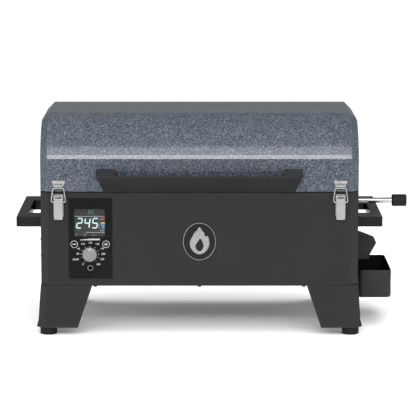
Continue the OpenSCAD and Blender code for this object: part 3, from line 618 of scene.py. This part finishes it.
shelf_verts = [at(x, d, hz1 - SHELF_DROP / hd1 * d - under * HANDLE_SHEET)
               for under in (0, 1) for x in SHELF_X for d in SHELF_D]
shelf_faces = []
for i, j in SHELF_CELLS:
    ring = [(i, j), (i + 1, j), (i + 1, j + 1), (i, j + 1)]
    shelf_faces.append(tuple(shelf_corner(a, b, 0) for a, b in ring))
    shelf_faces.append(tuple(shelf_corner(a, b, 1) for a, b in reversed(ring)))
    for k, neighbour in enumerate(((i, j - 1), (i + 1, j), (i, j + 1), (i - 1, j))):
        (a, b), (c, d) = ring[k], ring[(k + 1) % 4]
        if neighbour not in SHELF_CELLS:
            shelf_faces.append((shelf_corner(a, b, 0), shelf_corner(c, d, 0), shelf_corner(c, d, 1),
                                shelf_corner(a, b, 1)))
mesh_piece("lid_handle_shelf", shelf_verts, shelf_faces, M["handle"], "lid",
           ("lid_handle",), bevel=0.0005)
fold = hz1 - SHELF_DROP
front_edge = [(hx1 - 1.9, hd1 - 0.02, fold), (hx1 - 14.5, 4.0, hz0), (hx1 - 14.1, 2.8, hz0 + 1.2),
              (hx1 - 1.9, hd1 - 2.2, fold)]
loft("lid_handle_front", [[at(s * x, d, z) for x, d, z in front_edge] for s in (-1, 1)], M["handle"], "lid",
     bevel=0.0005)
gusset = [(hx1 - 1.1, 0.3, hz1 - 1.2), (hx1 - 1.7, hd1 - 1.2, fold - 1.2), (hx1 - 14.3, 3.6, hz0 + 2.6)]
for s, hand in ((-1, "left"), (1, "right")):
    loft("lid_handle_gusset_" + hand, [[at(s * (x - k), d, z) for x, d, z in gusset]
                                       for k in (0.0, HANDLE_SHEET)],
         M["handle"], "lid", bevel=0.0004)

# ---------------------------------------------------------------- display
wx0, wx1, _, wd1, wz0, wz1 = span("display_lens")
BACKING = 0.7
DIGIT_LEAN = 0.14
RED_TOP, BLUE_TOP = wz0 + 37.2, wz0 + 23.8
plate("display_backing", rect(wx0 + 0.3, wz0 + 0.3, wx1 - 0.3, wz1 - 0.3), 0.25, BACKING, M["lcd"],
      slot="display_glass", bevel=0.0001)
plate("display_window", rect(wx0 + 0.15, wz0 + 0.15, wx1 - 0.15, wz1 - 0.15), wd1 - 0.6, wd1,
      M["window"], slot="display_glass", replaces=("display_lens",), bevel=0.00025)
SEGMENTS = {"2": "abged", "4": "fgbc", "5": "afgcd", "6": "afgecd"}


def art(name, outlines, mat):
    """Shapes lying on the display backing."""
    many_plates(name, outlines, BACKING, BACKING + 0.15, M[mat], slot="display_glass")


def digit_outlines(ch, x, z, w, h, stroke):
    """Seven-segment outlines, leaning right."""
    s = stroke / 2
    m = z + h / 2
    bars = {
        "a": ((x, z + h), (x + w, z + h)), "g": ((x, m), (x + w, m)), "d": ((x, z), (x + w, z)),
        "f": ((x, m), (x, z + h)), "b": ((x + w, m), (x + w, z + h)),
        "e": ((x, z), (x, m)), "c": ((x + w, z), (x + w, m)),
    }
    out = []
    for key in SEGMENTS[ch]:
        (x0, z0), (x1, z1) = bars[key]
        if z0 == z1:
            pts = [(x0, z0), (x0 + s, z0 - s), (x1 - s, z0 - s), (x1, z0), (x1 - s, z0 + s),
                   (x0 + s, z0 + s)]
        else:
            pts = [(x0, z0), (x0 + s, z0 + s), (x0 + s, z1 - s), (x0, z1), (x0 - s, z1 - s),
                   (x0 - s, z0 + s)]
        out.append([(px + (pz - z) * DIGIT_LEAN, pz) for px, pz in pts])
    return out


def number(text, x, z, pitch, w, h, stroke):
    """Outlines of a row of digits."""
    return [bar for k, ch in enumerate(text) for bar in digit_outlines(ch, x + pitch * k, z, w, h, stroke)]


art("display_digits", number("245", wx0 + 4.4, wz0 + 16.8, 15.2, 9.2, 18.6, 2.5), "digit")
art("display_small_digits", number("65", wx0 + 28.2, wz0 + 44.6, 5.6, 3.2, 7.4, 1.1), "teal")
art("display_lines", [
    rect(wx0 + 1.2, wz0 + 38.9, wx1 - 0.4, wz0 + 39.8), rect(wx0 + 22.7, wz0 + 7.5, wx1 - 0.4, wz0 + 8.4),
    rect(wx1 - 9.4, wz0 + 10.9, wx1 - 1.8, wz0 + 12.1),
], "lcd_white")
unit_x = wx1 - 10.4
art("display_degree", [
    round_rect(unit_x - 2.2, wz0 + 25.4, unit_x - 0.6, wz0 + 27.0, 0.7, 3),
    rect(unit_x - 1.6, wz0 + 16.8, unit_x - 0.9, wz0 + 23.9),
    rect(unit_x - 1.6, wz0 + 16.2, unit_x + 1.6, wz0 + 16.9),
    rect(unit_x - 1.6, wz0 + 23.8, unit_x + 1.6, wz0 + 24.5),
], "lcd_white")
art("display_heat_high", [round_rect(wx1 - 11.6, RED_TOP - 5.4, wx1 - 0.3, RED_TOP, 2.4)], "lcd_red")
art("display_heat_mid", [[(wx1 - 7.2, BLUE_TOP + 1.0), (wx1 - 0.5, BLUE_TOP + 1.0),
                          (wx1 - 0.3, BLUE_TOP + 4.0), (wx1 - 8.0, BLUE_TOP + 4.0)]], "lcd_yellow")
art("display_heat_low", [[(wx1 - 5.6, BLUE_TOP - 9.2), (wx1 - 0.5, BLUE_TOP - 9.2), (wx1 - 0.5, BLUE_TOP),
                          (wx1 - 8.4, BLUE_TOP)]], "lcd_blue")
art("display_icons", [
    round_rect(wx0 + 1.8, wz0 + 1.2, wx0 + 6.2, wz0 + 6.4, 1.2, 3),
    [(wx0 + 19.6, wz0 + 1.2), (wx0 + 23.2, wz0 + 1.2), (wx0 + 24.6, wz0 + 3.8), (wx0 + 21.6, wz0 + 7.4),
     (wx0 + 18.4, wz0 + 3.8)],
    round_rect(wx0 + 35.4, wz0 + 1.4, wx0 + 41.2, wz0 + 4.8, 1.0, 3),
], "lcd_dim")

# ---------------------------------------------------------------- knob, dial print, buttons, jack
kx0, kx1, _, kd1, kz0, kz1 = span("control_knob")
KX, KZ, KR = (kx0 + kx1) / 2, (kz0 + kz1) / 2, (kx1 - kx0) / 2
FACE = span("control_panel")[3]
PRINT0, PRINT1 = FACE - 0.02, FACE + 0.06
LABEL_HEIGHT = 3.7
# The printed dial is centred a little under the knob's axis
DIAL_Z = KZ - 2.8
BAR_Z = wz0 - 7.4
knob_profile = [(2.6, 3.0), (2.6, KR - 1.9), (4.8, KR - 1.6), (5.2, KR - 0.5), (5.8, KR - 0.4),
                (15.2, KR - 0.45), (16.4, KR - 0.9), (kd1 - 0.45, KR - 1.7), (kd1 - 0.05, KR - 2.6),
                (kd1 - 0.25, KR - 4.8), (kd1 - 0.5, 0.6)]
lathe("control_knob_cap", at(KX, 0, KZ), (0, -1, 0), [(h * MM, r * MM) for h, r in knob_profile],
      M["silver"], "knob", ("control_knob",), steps=216, ridge=0.00035, ridges=54,
      smooth=38, span=(4, 5))
lathe("control_knob_dot", at(KX, kd1 - 0.35, KZ + 9.2), (0, -1, 0),
      [(0, 0.0013), (0.0005, 0.0013), (0.0007, 0.0009)], M["print"], "knob", steps=24)
DIAL = [(-13.7, -18.4, "0"), (-27.6, -9.0, "65-80"), (-23.4, 2.1, "80"), (-21.9, 12.0, "95"),
        (-13.7, 21.2, "110"), (0.9, 23.8, "125"), (14.6, 21.2, "150"), (24.0, 12.0, "175"),
        (26.0, 1.9, "200"), (24.0, -8.7, "230"), (16.5, -18.4, "260")]
for dx, dz, text in DIAL:
    label("dial_" + text, text, KX + dx, DIAL_Z + dz, FACE, LABEL_HEIGHT, M["print"])


def tick(dx, dz):
    """Short line beside the knob, pointing at a number of the dial."""
    a = math.atan2(dz, dx)
    c, s = math.cos(a), math.sin(a)
    return [(KX + r * c - w * s, DIAL_Z + r * s + w * c)
            for r, w in ((KR + 1.2, 0.32), (KR + 1.2, -0.32), (KR + 3.4, -0.32), (KR + 3.4, 0.32))]


many_plates("dial_ticks", [tick(dx, dz) for dx, dz, _ in DIAL], PRINT0, PRINT1, M["print"],
            slot="white_plastic")
BAR_PITCH = 3.9
bars = [rect(KX + 0.9 + BAR_PITCH * k, BAR_Z, KX + 3.7 + BAR_PITCH * k, BAR_Z + 3.2 + 0.4 * min(k, 0))
        for k in range(-5, 5)]
many_plates("dial_level_bars", bars, PRINT0, PRINT1, M["print"], slot="white_plastic")
for side in ("left", "right"):
    body = "button_" + side
    bx0, bx1, _, bd1, bz0, bz1 = span(body)
    bx, bz, br = (bx0 + bx1) / 2, (bz0 + bz1) / 2, (bx1 - bx0) / 2
    profile = [(-0.3, 3.0), (0.7, 3.0), (0.7, br), (bd1 - 0.25, br), (bd1 - 0.12, br - 0.12),
               (bd1 - 0.15, br - 2.4), (bd1 - 0.3, 0.5)]
    lathe(body + "_cap", at(bx, 0, bz), (0, -1, 0), [(h * MM, r * MM) for h, r in profile],
          M["panel"], body, (body,), steps=72)
    ring_piece(body + "_ring", bx, bz, br - 0.78, br - 0.12, bd1 - 0.3, bd1 - 0.02, M["print"], body)
    if side == "left":
        marks = [rect(bx - 3.6, bz - 0.6, bx + 3.6, bz + 0.6)]
    else:
        marks = [rect(bx - 3.6, bz - 0.6, bx - 0.75, bz + 0.6),
                 rect(bx + 0.75, bz - 0.6, bx + 3.6, bz + 0.6),
                 rect(bx - 0.55, bz - 2.9, bx + 0.55, bz + 2.9)]
    many_plates(body + "_mark", marks, bd1 - 0.35, bd1 - 0.12, M["print"], body, "white_plastic")
jx0, jx1, _, jd1, jz0, jz1 = span("probe_jack")
jack = at((jx0 + jx1) / 2, 0, (jz0 + jz1) / 2)
jr = (jx1 - jx0) / 2
turned_ring("probe_jack_ring", jack, (0, -1, 0), [
    (h * MM, r * MM) for h, r in ((-18, 4.2), (2.05, 4.2), (2.05, jr), (3.3, jr), (jd1, jr - 0.45),
                                  (jd1, jr - 0.9), (3.0, 4.3), (2.0, 3.7), (-18, 3.7))],
    M["zinc"], "grill", ("probe_jack",))
turned_ring("probe_jack_sleeve", jack, (0, -1, 0), [
    (h * MM, r * MM) for h, r in ((-19, 3.65), (1.9, 3.65), (2.4, 4.2), (3.3, 4.25), (2.8, 3.0),
                                  (-19, 3.0))],
    M["plastic"], "grill")

# ---------------------------------------------------------------- badge
ox0, ox1, _, od1, oz0, oz1 = span("badge_plate")
OX, OZ, ORX, ORZ = (ox0 + ox1) / 2, (oz0 + oz1) / 2, (ox1 - ox0) / 2, (oz1 - oz0) / 2


def oval_rings(levels):
    """Rings of the badge's oval from (inset, distance from the wall)."""
    steps = 96
    angles = [2 * math.pi * i / steps for i in range(steps)]
    return [[at(OX + (ORX - inset) * math.cos(a), d, OZ + (ORZ - inset) * math.sin(a)) for a in angles]
            for inset, d in levels]


loft("badge_back", oval_rings([(0.0, 0.0), (0.0, od1 - 0.5), (0.5, od1)]), M["badge"], "grill",
     ("badge_plate",))
loft("badge_rim", oval_rings([(1.0, od1), (1.1, od1 + 0.6), (1.6, od1 + 0.95), (2.1, od1 + 0.6),
                              (2.2, od1)]), M["emblem"], "grill", ("badge_ring",),
     caps=False, closed=True)
# Flame outlines in mm from the badge's middle
FLAME = [(0, 30), (5.5, 21), (10.5, 15), (10, 8), (15.5, 12.5), (19, 3), (19.5, -7), (15, -17), (8, -23.5),
         (0, -26), (-8, -23.5), (-15, -17), (-19.5, -7), (-18, 3), (-13, 11), (-10.5, 17), (-5, 22)]
TONGUE = [(1, 8), (5.5, 1), (8.5, -7), (7, -15), (0, -20.5), (-7, -15), (-8.5, -7), (-4, -1)]


def smooth_loop(points):
    """Closed outline rounded by cutting its corners twice."""
    for _ in range(2):
        points = [(ax + (cx - ax) * f, az + (cz - az) * f)
                  for (ax, az), (cx, cz) in zip(points, points[1:] + points[:1]) for f in (0.25, 0.75)]
    return points


def relief(name, outline, d0, rise, mat, replaces=()):
    """Domed relief over an outline: shrinks towards its middle as it rises."""
    pts = smooth_loop(outline)
    mx = sum(p[0] for p in pts) / len(pts)
    mz = sum(p[1] for p in pts) / len(pts)
    rings = []
    for k, h in ((1.0, 0.0), (0.985, 0.45), (0.93, 0.72), (0.7, 0.9), (0.35, 1.0)):
        rings.append([at(OX + mx + (x - mx) * k, d0 + rise * h, OZ + mz + (z - mz) * k) for x, z in pts])
    return loft(name, rings, mat, "grill", replaces, smooth=40)


relief("badge_flame", FLAME, od1 - 0.05, 0.9, M["emblem"], ("badge_emblem",))
relief("badge_flame_core", TONGUE, od1 + 0.75, 0.25, M["badge"])

# ---------------------------------------------------------------- latches
lever_x0, lever_x1 = span("latch_lever_right")[:2]
LEVER_HALF = (lever_x1 - lever_x0) / 2
LEVER_SHEET, CHEEK_SHEET = 1.2, 1.1
FACE_END = 9.8          # below the lever's top
FOOT_CORNER, HEAD_CORNER = 2.6, 1.4
WIRE, WIRE_TOP_HALF = 1.35, 10.6
# Rivet head: (height, distance in from its rim), in metres
RIVET = [(0, 0), (0.0004, 0.0001), (0.0009, 0.0008)]
RIVET_HEIGHT = 0.0011
keeper_z0, keeper_z1 = span("lid_keepers")[4:]


def latch_lever(side):
    """Flat face with two folded cheeks, pivot knuckles, a tab and a pressed crease."""
    body = "latch_lever_" + side
    x0, x1, _, front, low, top = span(body)
    x, w = (x0 + x1) / 2, LEVER_HALF
    outline = (arc_points(x + w - FOOT_CORNER, low + FOOT_CORNER, FOOT_CORNER, -90, 0, 5)
               + arc_points(x + w - HEAD_CORNER, top - FACE_END, HEAD_CORNER, 0, 90, 4)
               + arc_points(x - w + HEAD_CORNER, top - FACE_END, HEAD_CORNER, 90, 180, 4)
               + arc_points(x - w + FOOT_CORNER, low + FOOT_CORNER, FOOT_CORNER, 180, 270, 5))
    plate(body + "_face", outline, front - LEVER_SHEET, front, M["zinc"], body, "zinc_steel", (body,),
          bevel=0.00045)
    for s, hand in ((-1, "l"), (1, "r")):
        cheek = [at(x + s * (w - CHEEK_SHEET), d, z) for d, z in (
            (front - 0.5, low + 12), (front - 0.5, top - 9.6), (front - 3.6, top - 3), (front - 5, top),
            (front - 7.4, top - 0.6), (front - 7.4, top - 5), (front - 4.4, low + 16))]
        outward = Vector((s * CHEEK_SHEET * MM, 0, 0))
        loft(f"{body}_cheek_{hand}", [cheek, [p + outward for p in cheek]], M["zinc"], body,
             bevel=0.0003)
        lathe(f"{body}_knuckle_{hand}", at(x + s * 5.3, front - 2.6, top - 7.6), (1, 0, 0),
              [(-0.0030, 0.0012), (-0.0027, 0.0021), (-0.0020, 0.0024), (0.0020, 0.0024),
               (0.0027, 0.0021), (0.0030, 0.0012)], M["zinc"], body, steps=32)
    plate(body + "_tab", round_rect(x - 3.2, top - 12.4, x + 3.2, top - 5.4, 1.4), front - 2 * LEVER_SHEET,
          front - LEVER_SHEET, M["zinc"], body, "zinc_steel", bevel=0.0004)
    plate(body + "_crease", round_rect(x - w + 2.3, low + 2.4, x + w - 2.3, top - 15.5, 1.2), front - 0.3,
          front - 0.02, M["zinc"], body, "zinc_steel", bevel=0.00012)


def latch_loop(side):
    """Bent wire: two hooked ends at the lever, legs that lean in, and a straight top."""
    body = "latch_loop_" + side
    x0, x1, _, _, z0, z1 = span(body)
    x, half, low, high = (x0 + x1) / 2, (x1 - x0) / 2 - WIRE, z0 + WIRE, z1 - WIRE
    leg = [(-7.4, 7.0, low), (0.4 - half, 7.0, low), (-half, 7.0, low + 4.0), (-WIRE_TOP_HALF, 4.0, high)]
    path = leg + [(-dx, d, z) for dx, d, z in reversed(leg)]
    curve_piece(body + "_wire", rounded([at(x + dx, d, z) for dx, d, z in path], 4.2 * MM), WIRE * MM,
                M["zinc"], body, (body,))


def rivet(name, x, z, radius, crown, body):
    """Low round head; crown is the radius of its flat middle."""
    profile = [(h, radius - inset) for h, inset in RIVET] + [(RIVET_HEIGHT, crown)]
    lathe(name, at(x, 1.1, z), (0, -1, 0), profile, M["zinc"], body, steps=32)


def lid_keeper(side):
    """Flared plate on the lid with a lip for the wire, and the rivets that hold it and the lever's base."""
    x0, x1 = span("latch_lever_" + side)[:2]
    x = (x0 + x1) / 2
    z0, z1 = keeper_z0, keeper_z1
    flare = [(x - 9.4, z0), (x + 9.4, z0), (x + 13.3, z1 - 0.8), (x + 12.6, z1), (x - 12.6, z1),
             (x - 13.3, z1 - 0.8)]
    plate(f"lid_keeper_{side}_plate", flare, 0.0, 1.2, M["zinc"], "lid", "zinc_steel", ("lid_keepers",),
          bevel=0.0004)
    lip = [(0.6, z0 + 1.2), (0.6, z0 + 0.2), (1.4, z0), (4.8, z0), (5.6, z0 + 0.3), (5.98, z0 + 1.2),
           (5.9, z0 + 3.5), (4.9, z0 + 3.5), (4.7, z0 + 1.5), (4.2, z0 + 1.2)]
    loft(f"lid_keeper_{side}_lip", [[at(x + dx, d, z) for d, z in lip] for dx in (-9.3, 9.3)], M["zinc"],
         "lid", bevel=0.0003)
    for s, hand in ((-1, "l"), (1, "r")):
        rivet(f"lid_keeper_{side}_rivet_{hand}", x + 5.2 * s, z0 + 7.2, 0.0026, 0.0008, "lid")
        rivet(f"latch_base_{side}_rivet_{hand}", x + 5.6 * s, span("latch_bases")[4] + 4.5, 0.0024, 0.0007,
              "grill")


for side in ("left", "right"):
    latch_lever(side)
    latch_loop(side)
for side in ("left", "right"):
    lid_keeper(side)

# ---------------------------------------------------------------- rod knob
rx0, rx1, rd0, rd1, rz0, rz1 = span("rod_knob")
GRIP_R = (rz1 - rz0) / 2
GRIP_LEN = rx1 - rx0
grip_profile = [(0, 6.0), (0, GRIP_R - 1.8), (0.5, GRIP_R - 0.7), (1.6, GRIP_R - 0.1),
                (2.6, GRIP_R - 0.05), (GRIP_LEN - 2.8, GRIP_R - 0.05), (GRIP_LEN - 1.6, GRIP_R - 0.1),
                (GRIP_LEN - 0.5, GRIP_R - 0.8), (GRIP_LEN, GRIP_R - 2.2), (GRIP_LEN, 1.0)]
lathe("rod_knob_grip", at(rx0, (rd0 + rd1) / 2, (rz0 + rz1) / 2), (1, 0, 0),
      [(h * MM, r * MM) for h, r in grip_profile],
      M["plastic"], "broiler_slider", ("rod_knob",), steps=192, ridge=0.0003, ridges=48,
      span=(4, 5))

# ---------------------------------------------------------------- grease chute
_, chute_x1, cd0, cd1, cz0, cz1 = span("grease_chute")
WALL = span("body_shell")[1]
CHUTE_SHEET = 1.5
NOSE_R, NOSE_STEPS = 8.0, 8
NOSE_START, NOSE_END = 69, -29      # degrees from level


def chute_outline(inset):
    """Side of the hood: sloping top, rounded nose, end edge and a level lower edge, cut off at the wall."""
    nose = arc_points(chute_x1 - NOSE_R, cz1 - 23.2, NOSE_R - inset, NOSE_START, NOSE_END, NOSE_STEPS)
    return ([(WALL + 0.1, cz1 - 0.05 - 1.07 * inset)] + nose
            + [(chute_x1 - 12.4, cz1 - 47.6), (chute_x1 - 14.1, cz0 + 1.0), (chute_x1 - 14.9, cz0),
               (WALL + 0.1, cz0)])


for name, a, b in (("a", cd0, cd0 + CHUTE_SHEET), ("b", cd1 - CHUTE_SHEET, cd1)):
    plate("grease_chute_side_" + name, chute_outline(0), a, b, M["chute"], "grill", "black_paint",
          ("grease_chute",), bevel=0.0005)
roof = NOSE_STEPS + 2
hood = chute_outline(0)[:roof] + chute_outline(CHUTE_SHEET)[:roof][::-1]
plate("grease_chute_hood", hood, cd0 + 1.2, cd1 - 1.2, M["chute"], "grill", "black_paint",
      ("grease_chute",), bevel=0.0003)

# ---------------------------------------------------------------- grease bucket
_, tub_x1, tub_d0, tub_d1, tub_z0, _ = span("grease_bucket")
TUB_WIDTH, TUB_HEIGHT, TUB_CORNER = 66, 55.5, 9.0
tub_x0 = tub_x1 - TUB_WIDTH
tub_z1 = tub_z0 + TUB_HEIGHT


def tub_ring(inset, z):
    """Rounded rectangle at one height of the tub."""
    corner = max(TUB_CORNER - inset, 0.6)
    return [at(x, d, z) for x, d in
            round_rect(tub_x0 + inset, tub_d0 + inset, tub_x1 - inset, tub_d1 - inset, corner, 6)]


tub = loft("grease_bucket_tub", [
    tub_ring(5.0, tub_z0 + 0.0), tub_ring(2.6, tub_z0 + 0.35), tub_ring(0.9, tub_z0 + 1.6),
    tub_ring(0.1, tub_z0 + 3.8), tub_ring(0.0, tub_z0 + 6), tub_ring(0.0, tub_z1 - 0.6),
    tub_ring(0.25, tub_z1 - 0.1), tub_ring(0.7, tub_z1), tub_ring(1.15, tub_z1 - 0.2),
    tub_ring(1.25, tub_z1 - 0.8), tub_ring(1.3, tub_z0 + 5), tub_ring(3.2, tub_z0 + 2.0),
    tub_ring(6.2, tub_z0 + 1.4)], M["bucket"], "bucket", ("grease_bucket",), smooth=35)
# The tub's inside faces take the painted shade material.
tub.data.materials.append(M["shade_and_screw_black"])
ring_size = len(tub_ring(0.0, tub_z0))
INNER_RING, WALL_RINGS = 9, 12      # where the inside starts, and how many bands there are
for poly in tub.data.polygons:
    if poly.index >= INNER_RING * ring_size and poly.index != WALL_RINGS * ring_size:
        poly.material_index = 1
hook = [(tub_x0 + 0.2, tub_z1), (tub_x0 - 4.2, tub_z1), (tub_x0 - 4.8, tub_z1 - 0.6),
        (tub_x0 - 4.8, tub_z1 - 5.5), (tub_x0 - 3.6, tub_z1 - 5.5), (tub_x0 - 3.6, tub_z1 - 1.6),
        (tub_x0 + 0.2, tub_z1 - 1.6)]
hook_mid = (tub_d0 + tub_d1) / 2
plate("grease_bucket_hook", hook, hook_mid - 40, hook_mid + 40, M["bucket"], "bucket", "handle_paint",
      ("grease_bucket",), bevel=0.0003)
stop = [(tub_x0 - 0.2, tub_z1 - 1), (tub_x0 + 1, tub_z1 - 1), (tub_x0 + 1, tub_z1 + 6.2),
        (tub_x0 - 0.2, tub_z1 + 6.5)]
plate("grease_bucket_stop", stop, hook_mid - 34, hook_mid - 20, M["bucket"], "bucket", "handle_paint",
      bevel=0.0003)

# ---------------------------------------------------------------- rubber feet
fx0, fx1, fd0, fd1, _, FOOT_H = span("rubber_feet")
FOOT_R = 16.5
foot_profile = [(0.0, 4.5), (0.0, 1.6), (0.5, 0.6), (1.4, 0), (4.4, 0), (4.9, 0.7), (5.6, 0.7), (6.1, 0),
                (FOOT_H - 2.4, 0), (FOOT_H - 1.2, 0.5), (FOOT_H - 0.2, 2.2), (FOOT_H, 4)]
for hand, x in (("left", fx0 + FOOT_R), ("right", fx1 - FOOT_R)):
    for end, d in (("front", fd1 - FOOT_R), ("rear", fd0 + FOOT_R)):
        lathe(f"foot_{end}_{hand}", at(x, d, 0), (0, 0, 1),
              [(z * MM, (FOOT_R - inset) * MM) for z, inset in foot_profile],
              M["rubber"], "grill", ("rubber_feet",), steps=64)

# ---------------------------------------------------------------- cooking grates
BAR_R, RIM_R, BAR_SPACING, RIM_CORNER = 2.1, 2.45, 14, 9
for side in ("left", "right"):
    node, body = "cooking_grate_" + side, "grate_" + side
    gx0, gx1, gd0, gd1, gz0, gz1 = span(node)
    z = (gz0 + gz1) / 2
    x0, x1, d0, d1 = gx0 + RIM_R, gx1 - RIM_R, gd0 + RIM_R, gd1 - RIM_R
    rim = [at(x, d, z) for x, d in ((x0, d0), (x1, d0), (x1, d1), (x0, d1))]
    loop = []
    for i in range(4):
        a, b, c = rim[i - 1], rim[i], rim[(i + 1) % 4]
        p0, p1 = b + (a - b).normalized() * RIM_CORNER * MM, b + (c - b).normalized() * RIM_CORNER * MM
        loop += [p0.lerp(b, t / 6).lerp(b.lerp(p1, t / 6), t / 6) for t in range(7)]
    curve_piece(body + "_rim", loop, RIM_R * MM, M["enamel"], body, (node,), closed=True)
    count = round((gx1 - gx0) / BAR_SPACING)
    step = (x1 - x0) / count
    rods = [[at(x0 + step * i, d, z) for d in (d0, d1)] for i in range(1, count)]
    curve_piece(body + "_bars", rods, BAR_R * MM, M["enamel"], body)
    ties = [[at(x, gd0 + (gd1 - gd0) * f, z - 0.3) for x in (x0, x1)] for f in (1 / 3, 2 / 3)]
    curve_piece(body + "_ties", ties, BAR_R * MM, M["enamel"], body)

# ---------------------------------------------------------------- floor, light and camera
DOME_FRONT, DOME_BACK = 0.75, 0.2
BACKDROP = 1.05
FLOOR_R, FLOOR_STEPS, FLOOR_GLOW = 1.7, 96, 0.1
floor_mesh = bpy.data.meshes.new("floor")
floor_mesh.from_pydata([(CX + FLOOR_R * math.cos(a), CY + FLOOR_R * math.sin(a), 0) for a in
                        (2 * math.pi * i / FLOOR_STEPS for i in range(FLOOR_STEPS))], [],
                       [tuple(range(FLOOR_STEPS))])
floor = bpy.data.objects.new("floor", floor_mesh)
scene.collection.objects.link(floor)
floor_mat, floor_tree, floor_shader = base_material("pale_floor")
floor_tree.links.new(ramp(floor_tree, noise(floor_tree, coords(floor_tree), 3, 3, 0.5), [
    (0.3, (0.93, 0.93, 0.93)), (0.7, (0.95, 0.95, 0.95))]), floor_shader.inputs["Base Color"])
floor_shader.inputs["Roughness"].default_value = 0.9
floor_shader.inputs["Specular IOR Level"].default_value = 0.1
floor_shader.inputs["Emission Color"].default_value = (1, 1, 1, 1)
floor_shader.inputs["Emission Strength"].default_value = FLOOR_GLOW
floor_mesh.materials.append(floor_mat)

world = bpy.data.worlds.new("studio")
scene.world = world
world.use_nodes = True
wt = world.node_tree
dome = wt.nodes["Background"]
sky = wt.nodes.new("ShaderNodeTexCoord")
axes = wt.nodes.new("ShaderNodeSeparateXYZ")
wt.links.new(sky.outputs["Generated"], axes.inputs[0])
wt.links.new(remap(wt, axes.outputs["Y"], -0.4, 0.7, DOME_FRONT, DOME_BACK), dome.inputs["Strength"])
dome.inputs["Color"].default_value = (1, 1, 1, 1)
paper = wt.nodes.new("ShaderNodeBackground")
paper.inputs["Color"].default_value = (1, 1, 1, 1)
paper.inputs["Strength"].default_value = BACKDROP
path = wt.nodes.new("ShaderNodeLightPath")
choose = wt.nodes.new("ShaderNodeMixShader")
wt.links.new(path.outputs["Is Camera Ray"], choose.inputs[0])
wt.links.new(dome.outputs[0], choose.inputs[1])
wt.links.new(paper.outputs[0], choose.inputs[2])
wt.links.new(choose.outputs[0], wt.nodes["World Output"].inputs["Surface"])


def soft_light(name, place, aim, size_x, size_y, power, mirrored=True):
    """Rectangular light in metres and watts; mirrored says whether glossy surfaces show it."""
    data = bpy.data.lights.new(name, "AREA")
    data.shape = "RECTANGLE"
    data.size, data.size_y = size_x, size_y
    data.energy = power
    ob = bpy.data.objects.new(name, data)
    scene.collection.objects.link(ob)
    ob.location = place
    ob.visible_glossy = mirrored
    ob.rotation_euler = (Vector(aim) - Vector(place)).to_track_quat("-Z", "Y").to_euler()
    return ob


soft_light("front_softbox", (CX, FRONT - 2.9, 1.74), (CX, FRONT, 0.35), 4.4, 0.62, 75)
soft_light("upper_softbox", (CX, FRONT - 2.4, 2.4), (CX, FRONT, 0.35), 4.4, 0.9, 32)
soft_light("left_softbox", (CX - 3.2, FRONT - 0.6, 1.0), (CX, CY, 0.25), 1.6, 1.6, 26)
soft_light("top_softbox", (CX, CY + 0.1, 3.4), (CX, CY, 0.0), 4.0, 4.0, 130, mirrored=False)
soft_light("right_low_softbox", (CX + 2.4, CY - 0.3, 0.5), (CX + 0.35, CY, 0.0), 1.6, 0.5, 20,
           mirrored=False)

CAM_DISTANCE, CAM_HEIGHT = 4.55, 0.9565     # metres from the front wall and above the table
CAM_TILT = 8.864                            # degrees down
cam_data = bpy.data.cameras.new("camera")
cam = bpy.data.objects.new("camera", cam_data)
scene.collection.objects.link(cam)
cam.location = (CX, FRONT - CAM_DISTANCE, CAM_HEIGHT)
cam.rotation_euler = (math.radians(90 - CAM_TILT), 0, 0)
cam_data.lens = 203
cam_data.sensor_width = 36
cam_data.shift_x = 0.025
cam_data.clip_end = 100
scene.camera = cam
scene.view_settings.view_transform = "Standard"
